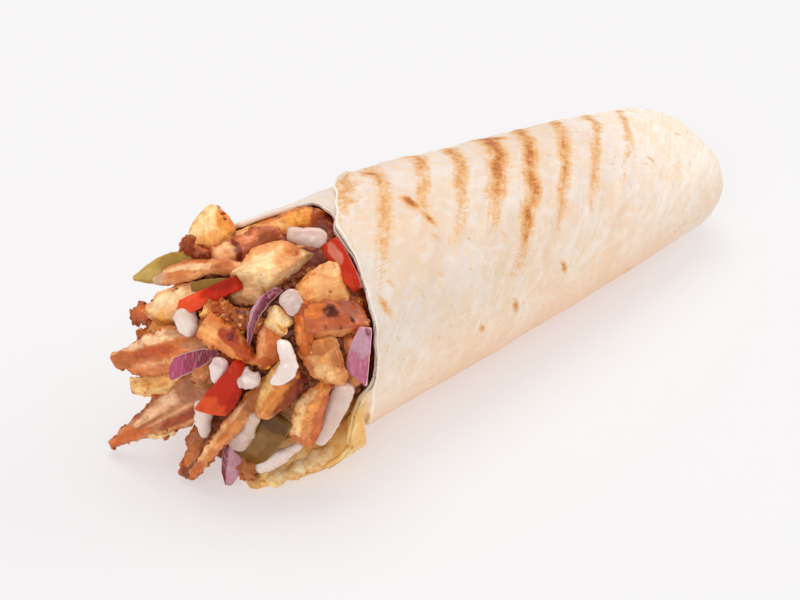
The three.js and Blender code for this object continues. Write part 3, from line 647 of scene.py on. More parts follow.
# Each slice: the ends of its centre line, its width and thickness, and what sets it apart
SLICES = [
    # Top of the mouth, from the far side to the near side
    dict(root=(-17, 11, 55), tip=(-9, 21, 67), width=12.5, thick=6,
         left=(0.7, 1.0, 1.12, 1.0, 0.72, 0.15), right=(0.7, 0.9, 1.0, 1.1, 0.8, 0.15), crumple=0.3,
         tear=0.4, relief=0.35, fibre=0.08, facets=4, colour="#fbd8a2", crisp=0.1,
         patches=[(0.1, 0.75, 1.0, 0.5, "#eb9f48"), (-0.1, 0.3, 0.42, 1.2, "#e3a257"),
                  (-0.62, 0, 0.42, 2.0, "#a9501e"), (-0.45, -0.8, 0.3, 0.5, BROWN),
                  (-0.55, 0.7, 0.2, 0.3, DARK)]),
    # The paler patch on its upper side is a painted highlight, and the thin dark band next to its
    # pale tip is a painted shadow line
    dict(root=(-4, 0, 65), tip=(-18, 7, 62), width=8.5, thick=3.4, left=(0.6, 0.8, 0.7, 1.3, 1.0),
         right=(0.5, 0.9, 0.8, 0.75, 0.6), crumple=1.3, tear=0.7, colour="#c06a46", crisp=0.3,
         patches=[(-0.1, 0.5, 0.6, 0.4, "#d4845a"), (-0.8, 0, 0.4, 1, "#a2562e"),
                  (0.4, 0.1, 0.16, 1.2, "#7a3018"), (0.85, 0.1, 0.4, 1.3, "#f3b886"),
                  (1.0, -0.7, 0.3, 0.3, "#c47040")]),
    dict(root=(-5, -13, 64.5), tip=(-21, -4, 60.5), width=13, thick=7, reach=(1.4, 1.24),
         left=(0.1, 0.5, 0.85, 1.0, 1.1, 0.8, 0.3), right=(0.1, 0.5, 1.0, 1.1, 1.05, 0.6, 0.25),
         crumple=0.4, tear=0.35, relief=0.35, fibre=0.1, facets=4, colour="#efce9e", crisp=0.1,
         patches=[(-0.6, 0.2, 0.6, 0.7, "#f0b87e"), (-0.1, 1.0, 0.9, 0.3, "#f0b070"),
                  (-0.85, 0.7, 0.35, 0.4, "#e49a5c"), (0.3, -0.95, 0.8, 0.3, "#d8a26c"),
                  (0.8, -0.2, 0.4, 0.7, "#f0d2a2")]),
    dict(root=(14.2, -1.2, 62), tip=(-9, 7, 65), width=9, thick=5, reach=(1.4, 1.24),
         left=(0.8, 0.7, 0.7, 0.6, 0.4, 0.1), right=(0.9, 1.15, 1.15, 0.8, 0.4, 0.1), tear=0.7,
         facets=3, colour="#ee9a38", crisp=0.3,
         patches=[(0.6, 0, 0.6, 1.0, "#f0b46c"), (-0.4, -0.4, 0.3, 0.4, AMBER),
                  (-1.0, 0, 0.45, 1.2, "#bc6236"), (-0.2, 0.5, 0.3, 0.3, "#f5b04c")]),
    dict(root=(9, 10, 60), tip=(-12, 15, 58), width=9, thick=5, face=UP, facets=2, colour="#d98a44",
         patches=[(0.3, 0, 0.5, 0.8, PEACH)]),
    dict(root=(0, 18, 58), tip=(-18, 20, 54), width=8, thick=5, face=UP, facets=2, colour=ROSE,
         patches=[(-0.3, 0, 0.5, 0.8, PALE)]),
    dict(root=(-14, -17, 59), tip=(-2, -23, 59.3), width=11, thick=5.5, reach=(1.7, 1.3),
         left=(0.1, 0.45, 0.75, 1.0, 1.22, 1.15), right=(0.2, 0.7, 0.8, 0.95, 1.3, 1.1), blunt=0.8,
         crumple=0.4, tear=0.7, relief=0.35, facets=3, colour="#efb274", crisp=0.25,
         patches=[(0.3, 0.85, 1.2, 0.4, "#db8f4a"), (0.9, -0.8, 0.4, 0.4, "#f6cb94"),
                  (-0.8, 0, 0.4, 0.8, "#e29c60"), (-0.1, -0.2, 0.5, 0.4, "#f5c084"),
                  (0.5, 0.3, 0.1, 0.1, RUST)]),
    dict(root=(0, -28.5, 51), tip=(-14.2, -23.2, 52.8), width=13, thick=4.5,
         left=(0.5, 0.95, 1.1, 0.85, 0.8), right=(1.1, 1.1, 1.0, 0.95, 0.75), blunt=0.8,
         crumple=0.9, tear=1.0, facets=2, colour="#bc6640", crisp=0.4,
         patches=[(0.15, -0.8, 0.9, 0.42, "#e09660"), (0.8, 0.55, 0.4, 0.5, "#d37732"),
                  (-0.6, 0.5, 0.55, 0.5, "#a8583c"), (0.2, 0.35, 0.32, 0.3, "#6c2a1a"),
                  (0.22, 0.4, 0.14, 0.14, DARK), (-0.55, -0.1, 0.12, 0.16, DARK),
                  (0.5, -0.25, 0.1, 0.12, BROWN), (-0.1, -0.35, 0.1, 0.12, BROWN)]),
    dict(root=(-13.8, -20.4, 56.8), tip=(-17.4, -25.4, 46.8), width=5, thick=4, crumple=0.8,
         tear=0.9, colour="#c2661f", crisp=0.3,
         patches=[(0.3, 0.6, 0.6, 0.4, "#d98a4c"), (-0.8, 0, 0.3, 1, RUST)]),
    # Near side, downwards
    dict(root=(-13, -27, 48), tip=(-14, -30.5, 37), width=11, thick=4.5, left=(0.9, 1, 1, 1, 0.6),
         right=(1.15, 1.1, 0.9, 0.6, 0.3), tear=1.0, facets=2, colour="#dca268", crisp=0.15,
         patches=[(-0.9, 0, 0.35, 1.2, "#c47e44"), (-0.2, -0.8, 0.5, 0.4, "#c07846"),
                  (0.35, 0.2, 0.6, 0.6, "#ecc08a"), (-0.1, 0.8, 0.6, 0.3, "#c8804c")]),
    dict(root=(-4, -28.5, 45), tip=(-7, -30, 34), width=7.5, thick=4, shape=(0.8, 1, 1, 1.1, 0.7),
         tear=1.2, colour="#c47c5a", crisp=0.3,
         patches=[(0.9, 0, 0.4, 1, "#d89a62"), (-0.3, 0.5, 0.3, 0.4, "#a85c40")]),
    dict(root=(-16, -29, 38), tip=(-21.1, -26.4, 18.5), width=9, thick=5,
         left=(0.6, 0.7, 0.75, 0.85, 0.9, 0.9, 0.6), right=(0.45, 0.7, 0.85, 1.0, 1.0, 0.95, 0.6),
         blunt=0.9, crumple=0.3, tear=0.9, facets=3, colour="#df9654", crisp=0.2,
         patches=[(0.0, -0.75, 1.4, 0.42, "#cc6e3a"), (0.1, 0.7, 1.2, 0.5, "#f4cc98"),
                  (1.05, 0.0, 0.3, 1.0, "#d4763a"), (-0.2, 0.1, 0.4, 0.3, "#e8a25c")]),
    dict(root=(-19, -25, 45), tip=(-28, -20, 31), width=9, thick=6,
         left=(0.5, 1.1, 1.2, 1.15, 0.9, 0.5), right=(0.4, 0.8, 1.0, 1.0, 0.85, 0.5), crumple=0.3,
         tear=0.3, relief=0.3, fibre=0.06, facets=2, colour="#d88c42", crisp=0.1,
         patches=[(0.1, 0.75, 1.1, 0.6, "#f0ca88"), (-0.7, -0.2, 0.5, 0.8, "#b0602a"),
                  (0.0, -0.9, 1.0, 0.5, "#8a3a08"), (-0.5, -1.0, 0.6, 0.3, LIVER),
                  (1.1, 0, 0.16, 1.2, "#dd9c5c")]),
    # Middle of the mouth
    dict(root=(-27, -17, 44), tip=(-32.2, -2.6, 50.8), width=9.5, thick=3.2, reach=(1.24, 1.1),
         left=(0.2, 0.4, 0.6, 0.7, 0.8, 0.75), right=(0.15, 0.4, 0.8, 1.1, 1.15, 0.9), blunt=0.6,
         curl=-0.6, crumple=1.0, tear=0.8, colour="#e09050", crisp=0.3,
         patches=[(0.75, -0.3, 0.4, 0.6, "#f0ae68"), (0.1, 0.3, 0.4, 0.5, "#a8401c"),
                  (-0.6, 0.1, 0.5, 0.9, "#b44c18"), (0.6, 0.85, 0.4, 0.3, "#de8038"),
                  (0.1, 0.35, 0.15, 0.2, "#74260f"), (-0.1, -0.8, 0.5, 0.3, "#e0904c")]),
    dict(root=(-21, -17, 54), tip=(-27, -20, 43), width=6.5, thick=5, shape=(0.5, 0.9, 1, 0.9, 0.4),
         relief=0.4, facets=2, colour="#cf7842", crisp=0.15,
         patches=[(-0.2, 0.6, 1.0, 0.4, "#dc9a68"), (0.9, 0, 0.4, 1.0, "#c2622e")]),
    dict(root=(-24.6, -14.6, 53.7), tip=(-26.6, -0.6, 52.7), width=5, thick=4.2, crumple=1.0,
         colour=LIVER, seared=0.3,
         patches=[(0.5, 0.4, 0.5, 0.6, "#b04a20"), (-0.5, 0.4, 0.4, 0.4, DARK)]),
    dict(root=(-18, -9, 58), tip=(-23, 3, 55), width=8, thick=3, left=(0.8, 1, 0.8, 0.6, 0.3),
         right=(0.6, 1, 1, 0.8, 0.4), crumple=1.0, colour="#d8ac80", crisp=0.2,
         patches=[(-0.2, -0.7, 0.7, 0.4, "#c48a5c"), (0.6, 0.2, 0.4, 0.7, "#c0764c")]),
    dict(root=(-6, -20, 54), tip=(-15, -15, 54), width=9, thick=4, colour="#9c4a24", crisp=0.2),
    dict(root=(4, -12, 57.5), tip=(-4, -25, 51), width=9, thick=4, face=UP, colour="#a8562c",
         crisp=0.3, patches=[(0.3, 0.3, 0.5, 0.5, "#d08a50")]),
    dict(root=(8, -4, 61), tip=(-6, -8, 62), width=9, thick=4, face=UP, facets=2, colour="#b4622e",
         crisp=0.3, patches=[(0.2, 0.3, 0.6, 0.5, "#dfa468")]),
    dict(root=(10, 4, 60), tip=(-4, -3, 62), width=6, thick=4, face=UP, facets=2, colour="#dd9650",
         crisp=0.3, patches=[(-0.2, -0.3, 0.6, 0.5, PALE)]),
    dict(root=(7, -14, 55), tip=(2, -23, 52), width=9, thick=4, face=UP, facets=2, colour="#b06a38",
         crisp=0.35, patches=[(0.2, 0.3, 0.6, 0.5, BROWN)]),
    dict(root=(-7, 6, 60), tip=(-18, 15, 56), width=8, thick=4, face=UP, facets=2, colour="#b4643a",
         crisp=0.3, patches=[(0.4, 0.3, 0.6, 0.5, "#8a3c1c")]),
    dict(root=(-26.4, -5.2, 55.2), tip=(-29.5, 1, 51.5), width=4.2, thick=3.4, tear=1.1,
         colour="#cf8444", crisp=0.6,
         patches=[(-0.4, 0, 0.5, 1, RUST), (0.6, 0.3, 0.4, 0.6, "#edb56c")]),
    dict(root=(-18, -18, 56), tip=(-22.5, -18.5, 51.5), width=7, thick=5.5,
         shape=(0.7, 1.1, 0.8, 1, 0.5), tear=1.3, relief=0.7, facets=3, colour="#f2d5a0", crisp=0,
         patches=[(0.5, -0.4, 0.5, 0.5, "#d79848"), (-0.6, 0.2, 0.5, 0.7, "#f8e4bc")]),
    dict(root=(-28.6, 0, 30), tip=(-33, -3, 37.6), width=9, thick=5, colour="#c58a58", crisp=0.1,
         patches=[(0.4, 0.3, 0.5, 0.5, "#d9a878")]),
    dict(root=(-24, -10, 44), tip=(-31, -8, 36), width=12, thick=6, colour="#a4542c"),
    # Far side, downwards to the two long blades
    dict(root=(-19, 0, 61), tip=(-25, 24, 51), width=5.2, thick=3.2,
         left=(0.5, 0.6, 0.9, 1.3, 1.2, 0.5), right=(0.8, 0.9, 1, 0.9, 0.7, 0.2), bend=2,
         skew=(-0.6, 1.0, 1.5, 1.0, -0.6), crumple=0.5, tear=0.6, relief=0.4, colour="#e0a06c",
         crisp=0.15,
         patches=[(-0.1, 0.2, 0.8, 0.4, "#f0c69c"), (0.2, 0.9, 1.1, 0.3, "#cc7438"),
                  (0.3, -0.3, 0.6, 0.35, "#d98848"), (1.0, 0.0, 0.4, 1.0, "#e0b494"),
                  (-0.9, 0, 0.3, 1, "#c07442")]),
    dict(root=(-25, 10, 52), tip=(-33.5, 21, 40.5), width=9.5, thick=4.5,
         shape=(0.7, 1, 1.1, 1, 0.7), crumple=0.9, facets=2, colour="#f0c08c", crisp=0.2,
         patches=[(0.6, -0.6, 0.7, 0.6, "#df8f3c"), (-0.2, 0.6, 0.9, 0.45, "#f8ddb2"),
                  (0.9, 0.4, 0.4, 0.5, "#e8a656"), (-0.1, -0.8, 0.5, 0.35, "#c0865c"),
                  (0.3, 0.0, 0.3, 0.3, "#f0b45c")]),
    dict(root=(-26, 17, 46), tip=(-32.7, 26.1, 40.5), width=7, thick=2.4, crumple=1.8, tear=1.8,
         relief=0.9, colour="#b05c34", crisp=0.65,
         patches=[(0.5, 0.3, 0.5, 0.5, AMBER), (0, -0.6, 0.5, 0.4, DARK)]),
    dict(root=(-26, 15, 40), tip=(-34.2, 22.2, 37), width=7, thick=2.4, crumple=1.8, tear=1.8,
         relief=0.9, colour="#a8581c", crisp=0.65,
         patches=[(0.2, 0.4, 0.5, 0.6, "#eba85c"), (0.8, -0.4, 0.4, 0.4, DARK)]),
    dict(root=(-27, -3, 45), tip=(-40.7, 22.7, 33), width=12, thick=3.2,
         left=(0.6, 1, 1.15, 1.2, 1.15, 0.9, 0.35), right=(1, 1, 1, 0.95, 0.8, 0.5, 0.25),
         blunt=0.5, twist=0.6, crumple=1.2, tear=0.9, colour="#cb7842", crisp=0.3,
         patches=[(0.1, 0.75, 1.3, 0.45, "#f0c6a0"), (0.4, 0.0, 0.8, 0.3, "#b8542a"),
                  (-0.3, 0.7, 0.35, 0.3, "#c0906c"), (0.5, -0.75, 0.6, 0.25, "#dd8c56"),
                  (0.2, -0.5, 0.9, 0.12, "#e8ac80"), (1.0, 0.1, 0.25, 0.8, "#bc6e3a"),
                  (0.2, 1.0, 1.0, 0.12, "#c8905e"), (-0.6, 0.0, 0.4, 0.3, "#c98a60")]),
    dict(root=(-27, 5, 31), tip=(-39.5, 19, 25), width=7, thick=2, crumple=1.6, tear=1.3,
         colour="#f3cb88", crisp=0.3, patches=[(0.4, 0, 0.5, 0.6, "#e8ad62")]),
    dict(root=(-28, -3, 31), tip=(-42.2, 25.2, 5.5), width=12, thick=3.4,
         left=(0.8, 0.95, 1.05, 0.95, 0.75, 0.45, 0.2),
         right=(0.6, 0.95, 1.2, 1.1, 0.75, 0.4, 0.15), blunt=0.5, curl=-0.6, crumple=1.2, tear=0.8,
         colour="#c6865a", crisp=0.3,
         patches=[(0.85, 0, 0.5, 1.0, "#c86c30"), (-0.1, -0.55, 0.5, 0.3, "#a04a24"),
                  (0.1, 0.4, 0.7, 0.35, "#ecc09a"), (-0.1, -0.15, 0.5, 0.1, "#e0b08a"),
                  (-0.6, 0.3, 0.4, 0.6, "#b2785a"), (0.3, 0.95, 0.6, 0.18, "#a8562a"),
                  (0.4, 0.0, 0.4, 0.12, "#b06a40"), (-0.5, -0.6, 0.3, 0.3, "#8a3c1c"),
                  (0.1, -0.85, 0.5, 0.12, "#d89c68")]),
    dict(root=(-23, 3.6, 21), tip=(-38, 15.6, 11.2), width=7, thick=2, crumple=1.6, tear=1.3,
         colour="#ecc892", crisp=0.2, patches=[(0.5, 0, 0.5, 0.8, "#e0ae74")]),
    # Underside of the mouth
    dict(root=(-22, 5, 20), tip=(-36.9, 2.4, 3.8), width=7.4, thick=3.4, crumple=1.2, tear=1.2,
         colour="#b0652c", crisp=0.45,
         patches=[(1.0, 0, 0.25, 1, BROWN), (0.6, 0.4, 0.4, 0.4, "#cc7a3c"),
                  (0.1, -0.4, 0.5, 0.4, "#8c4a20")]),
    dict(root=(-26, -18, 36), tip=(-37, -2, 7), width=4.6, thick=2.6,
         left=(0.9, 1.3, 1.2, 0.9, 0.7, 0.5), right=(0.7, 1.1, 1, 0.9, 0.7, 0.5), bend=2, tear=0.9,
         colour="#d58c50", crisp=0.4,
         patches=[(-0.7, 0.0, 0.4, 1.0, "#a4602e"), (-0.4, 0.5, 0.3, 0.4, "#dcb088"),
                  (0.0, 0.2, 0.3, 0.7, "#c87838"), (0.5, 0.6, 0.8, 0.4, "#eab680"),
                  (1.0, 0, 0.3, 0.8, "#c06a30")]),
    dict(root=(-22, -1, 22), tip=(-28, -3, 8), width=9, thick=5, colour="#8a4426", crisp=0.2),
    dict(root=(-19, -7, 12), tip=(-28, -11, 4.5), width=6, thick=4, tear=1.3, colour="#b87848",
         crisp=0.6, patches=[(0.2, 0, 0.5, 0.7, BROWN)]),
    # Far side of the mouth, behind the rows above
    dict(root=(1, 19, 57), tip=(-17, 22.5, 50), width=9, thick=3.6, face=FAR,
         left=(0.5, 0.8, 1.1, 1.0, 0.5), right=(0.7, 1.1, 0.9, 0.6, 0.3), crumple=1.1, tear=0.8,
         facets=2, colour=TAN,
         patches=[(0.3, 0.7, 0.9, 0.5, "#e8b98a"), (-0.2, -0.8, 1.0, 0.35, "#a4542c"),
                  (0.9, 0, 0.3, 1, "#c47c44")]),
    dict(root=(-1, 25.5, 50), tip=(-22, 27.5, 37), width=9.5, thick=3.4, face=FAR,
         left=(0.6, 0.9, 1.2, 0.9, 0.8, 0.3), right=(0.8, 1.0, 0.7, 0.9, 0.6, 0.2), crumple=1.3,
         tear=1.0, facets=2, colour="#dda070",
         patches=[(0.0, 0.75, 1.2, 0.4, "#f2cda0"), (0.2, -0.8, 1.2, 0.35, "#b8602c"),
                  (0.9, 0.2, 0.35, 0.8, "#a8501e"), (-0.5, 0.1, 0.4, 0.4, "#e8b484")]),
    dict(root=(-20, 22, 44), tip=(-29, 26, 29), width=6.5, thick=2.8, face=FAR,
         left=(0.7, 1.1, 0.8, 0.9, 0.4), right=(0.5, 0.9, 1.0, 0.7, 0.3), crumple=1.3, tear=1.3,
         facets=2, colour=AMBER, crisp=0.45,
         patches=[(-0.3, 0.6, 0.8, 0.5, "#e8ab68"), (0.8, 0.0, 0.4, 1.0, BROWN)]),
    dict(root=(-2, 27, 37), tip=(-17.5, 28.5, 22), width=11, thick=3.6, face=FAR,
         left=(0.7, 0.8, 1.1, 1.2, 0.7), right=(0.9, 1.0, 1.1, 0.8, 0.4), crumple=1.2, tear=0.9,
         facets=2, colour="#d49c6c",
         patches=[(0.1, -0.7, 1.1, 0.4, "#f0cca0"), (-0.6, 0.3, 0.5, 0.5, "#b4704a"),
                  (0.5, 0.8, 0.8, 0.3, "#a85424")]),
    dict(root=(-14, 24.5, 33), tip=(-31, 24, 19), width=7.5, thick=3.2, face=FAR,
         left=(0.8, 0.9, 0.7, 1.1, 0.8, 0.3), right=(0.6, 1.1, 0.9, 0.8, 0.5, 0.2), crumple=1.4,
         tear=1.0, facets=2, colour="#e0a468",
         patches=[(0.0, 0.8, 1.2, 0.4, "#c06c34"), (0.0, -0.3, 0.9, 0.3, "#f2d2a8"),
                  (1.0, 0, 0.3, 1, BROWN)]),
    dict(root=(-3, 25, 25), tip=(-21, 25, 14.5), width=10, thick=3.4, face=FAR,
         left=(0.9, 0.8, 1.1, 0.9, 0.4), right=(0.8, 1.0, 0.8, 1.0, 0.5), crumple=1.3, tear=1.1,
         facets=2, colour="#cb8452",
         patches=[(0.2, 0.7, 1.1, 0.45, "#e8b684"), (-0.4, -0.7, 0.6, 0.4, "#a45a34"),
                  (0.9, -0.2, 0.35, 0.8, RUST)]),
    dict(root=(-12, 17.5, 16), tip=(-32, 19, 6.5), width=7.5, thick=3.4, face=FAR,
         left=(0.8, 1.1, 0.8, 0.7, 0.3), right=(0.6, 0.9, 1.1, 0.8, 0.3), crumple=1.4, tear=1.2,
         facets=2, colour="#dca058", crisp=0.35,
         patches=[(-0.3, 0.7, 0.9, 0.4, "#f0cd98"), (0.5, -0.7, 0.9, 0.4, "#b4642c")]),
    # A crisp scrap under the topmost slice
    dict(root=(-12, 9, 57), tip=(-19.2, 19.2, 60.8), width=6.5, thick=2.8, crumple=1.4, tear=1.6,
         relief=0.9, colour="#8e3c18", crisp=0.55,
         patches=[(0.3, 0.3, 0.4, 0.5, "#c06a34"), (-0.5, 0, 0.4, 0.6, DARK)]),
    # Narrow shreds across the far side
    dict(root=(-9, 27.5, 44), tip=(-26, 27, 40), width=5, thick=2.6, face=FAR,
         left=(0.7, 0.8, 1.1, 0.6, 0.3), right=(0.5, 1, 0.7, 0.9, 0.4), crumple=1.5, tear=1.2,
         colour="#eab27a", crisp=0.35,
         patches=[(0.7, 0.2, 0.4, 0.8, "#b4602a"), (-0.3, 0.4, 0.5, 0.5, "#f6d8ac")]),
    dict(root=(-10, 27.5, 29), tip=(-24, 27.5, 27), width=4.6, thick=2.6, face=FAR,
         left=(0.5, 0.9, 1.1, 0.6, 0.4), right=(0.6, 1, 0.8, 0.9, 0.3), crumple=1.6, tear=1.4,
         colour="#a8562a", crisp=0.5, patches=[(0.2, 0.3, 0.7, 0.5, "#d08a50")]),
    dict(root=(-19, 13, 27), tip=(-32, 18, 12), width=6.5, thick=2.8, face=FAR,
         left=(0.7, 0.8, 1.1, 0.7, 0.3), right=(0.6, 1.1, 0.8, 0.9, 0.4), crumple=1.4, tear=1.1,
         colour="#c67c48", crisp=0.3,
         patches=[(0.0, 0.7, 1.0, 0.4, "#eec494"), (0.9, 0, 0.3, 1, RUST)]),
    dict(root=(-1, 27.2, 43), tip=(-20, 27.5, 34.5), width=7.5, thick=3, face=FAR,
         left=(0.6, 0.9, 1.0, 0.8, 0.4), right=(0.8, 1.1, 0.9, 0.7, 0.4), crumple=1.3, tear=1.0,
         facets=2, colour="#e2b080", crisp=0.3,
         patches=[(0.0, 0.75, 1.1, 0.4, "#f5d6ac"), (0.3, -0.8, 0.9, 0.35, "#b0602e")]),
]
SLICE_LOT = 12  # slices joined into one mesh
slices = [{"seed": number, **piece} for number, piece in enumerate(SLICES, start=1)]
lots = [heap(f"chicken_slices_{1 + start // SLICE_LOT}", slices[start:start + SLICE_LOT])
        for start in range(0, len(slices), SLICE_LOT)]

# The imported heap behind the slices: a lumpy dome in the mouth, then a body inside the bread
CORE_REACH = 29.0  # how far the dome stands out of the rim
CORE_MOUTH = 2.0  # how far behind the rim it starts
CORE_FULLNESS = 0.62  # 1 makes it an oval, and less a fuller one
CORE_STEP = 1.2  # how far the heap lies under the slices and the sheet
CORE_LUMPS = 1.6  # depth of its hollows,
CORE_HEART = (10, 0, 34)  # which sink towards this point
CORE_SIDES = 120  # points round the heap
core_degrees = np.arange(CORE_SIDES) * 360 / CORE_SIDES
core_depth = np.interp(core_degrees, degrees, inner_depth) + CORE_STEP
core_rows = []
for turn in np.linspace(88, 4, 30):
    shrink = math.cos(math.radians(turn)) ** CORE_FULLNESS
    x = CORE_MOUTH - (CORE_MOUTH + CORE_REACH - CORE_STEP) * math.sin(math.radians(turn))
    ring = roll_point(np.full(CORE_SIDES, x), core_degrees, core_depth, core_depth)
    middle = np.array((x, 0, HALF_HEIGHT[0] - REST_SINK))
    core_rows.append(middle + (ring - middle) * (1, shrink, shrink))
for x in np.linspace(CORE_MOUTH, body_end - 8, 30):
    core_rows.append(roll_point(np.full(CORE_SIDES, x), core_degrees, core_depth, core_depth))
core_rings = np.stack(core_rows)
lumps = noise(core_rings, 6, 40) * 0.55 + noise(core_rings, 2.6, 41) * 0.45
inwards = np.array(CORE_HEART) - core_rings
inwards /= np.linalg.norm(inwards, axis=-1, keepdims=True)
mouth_part = 1 - eased(core_rings[..., :1], 0, 16)
core_rings = core_rings + inwards * ((1 + lumps[..., None]) / 2 * CORE_LUMPS) * mouth_part
# Its dark red is painted shade, standing in for the deep gaps between the slices, and the lumps
# that stand out are painted lighter; along the lip it is as pale as the soaked dough
lit = eased(lumps + 0.1, -0.3, 0.6)[..., None]
core_colour = np.array(paint("#4c0f04")) * (1 - lit) + np.array(paint("#8a3614")) * lit
near_lip = arc(core_degrees, (180, 205, 300, 330))[None, :] * eased(core_rings[..., 0], -27, -18)
near_lip = eased(near_lip + 0.5 * lumps, 0.25, 0.6)[..., None]
core_colour = core_colour * (1 - near_lip) + np.array(paint("#e6b468")) * near_lip
core = closed_mesh("chicken_heap", [(core_rings, {
    "colour": core_colour, "edge": 0.0, "crisp": 0.1,
    "along": core_rings[..., 0], "across": core_rings[..., 1] + core_rings[..., 2]})])

# Grilled chicken: moist and a little glossy with fat, fibrous along each slice, with a brown
# crust at its edges and a few dark spice specks
meat, tree, bsdf = finish("grilled_chicken", Roughness=0.42, Subsurface_Weight=0.15,
                          Subsurface_Scale=0.0018, Subsurface_Radius=(1.0, 0.55, 0.3),
                          Coat_Weight=0.22, Coat_Roughness=0.16, Specular_IOR_Level=0.2)
flesh = add(tree, "ShaderNodeAttribute", out="Color", attribute_name="colour")
flesh = add(tree, "ShaderNodeMix", {0: 1.0, 6: flesh, 7: paint("#fffaf0")}, out=2,
            data_type="RGBA", blend_type="MULTIPLY")
# Strands a little under a millimetre apart, along which the meat was torn
strands = grained(tree, ("along", "across"), (0.17, 1.15), distortion=0.3)
flesh = tinted(tree, flesh, paint("#dd9660"), strands, 0.3, 0.5, 0.0, 0.24, how="MULTIPLY")
flesh = tinted(tree, flesh, (1.45, 1.42, 1.36, 1), strands, 0.52, 0.68, 0.36, how="MULTIPLY")
marbling = pattern(tree, 2.2, 5)
flesh = tinted(tree, flesh, paint("#f2b978"), marbling, 0.42, 0.62, 0.28, how="MULTIPLY")
flesh = tinted(tree, flesh, (1.95, 1.87, 1.5, 1), pattern(tree, 1.7, 5, shift=8), 0.52, 0.68, 0.28,
               how="MULTIPLY")
# A crust that breaks up at its edge, then the specks of spice
crust = add(tree, "ShaderNodeAttribute", out="Fac", attribute_name="crisp")
crust = strayed(tree, crust, (pattern(tree, 1.5, 5, shift=1), 1.5))
flesh = tinted(tree, flesh, paint("#b86226"), crust, 0.12, 0.46, 0.72)
flesh = tinted(tree, flesh, paint("#64290e"), crust, 0.42, 0.8, 0.85)
flesh = tinted(tree, flesh, paint("#6b2e14"), pattern(tree, 1.2, 2, shift=12), 0.71, 0.76, 0.7)
tree.links.new(flesh, bsdf.inputs["Base Color"])
shine = add(tree, "ShaderNodeMapRange", {0: marbling, 1: 0.3, 2: 0.7, 3: 0.3, 4: 0.55},
            interpolation_type="SMOOTHSTEP")
tree.links.new(shine, bsdf.inputs["Roughness"])
bumped(tree, bsdf, 0.5, 0.65, (marbling, 0.8), (pattern(tree, 0.7, 4), 0.55), (strands, 0.65))

for piece in (*lots, core):
    piece.data.materials.append(meat)
    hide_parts("chicken_filling")
    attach(piece, "root")

# Crumbs: small browned bits that the knife left, caught along the slices' torn edges
CRUMB_SIZE = 0.62  # half length of a middling crumb
CRUMB_DENSITY = 0.4  # crumbs on each square millimetre of the crispest edge
CRUMB_ROUGHNESS = 0.35  # how far a crumb's surface strays from an even one, in half lengths
CRUMB_SEED = 7
CRUMB_LEAST, CRUMB_MOST = (0.4, 0.35, 0.3), (1.5, 1.1, 0.8)  # half lengths against a middling one
CRUMB_TONES = ((0, BROWN), (0.3, RUST), (0.55, AMBER), (0.8, GOLD), (1, PALE))
BARE = 4.0  # crumbs lie only on slices whose tips come out further than this


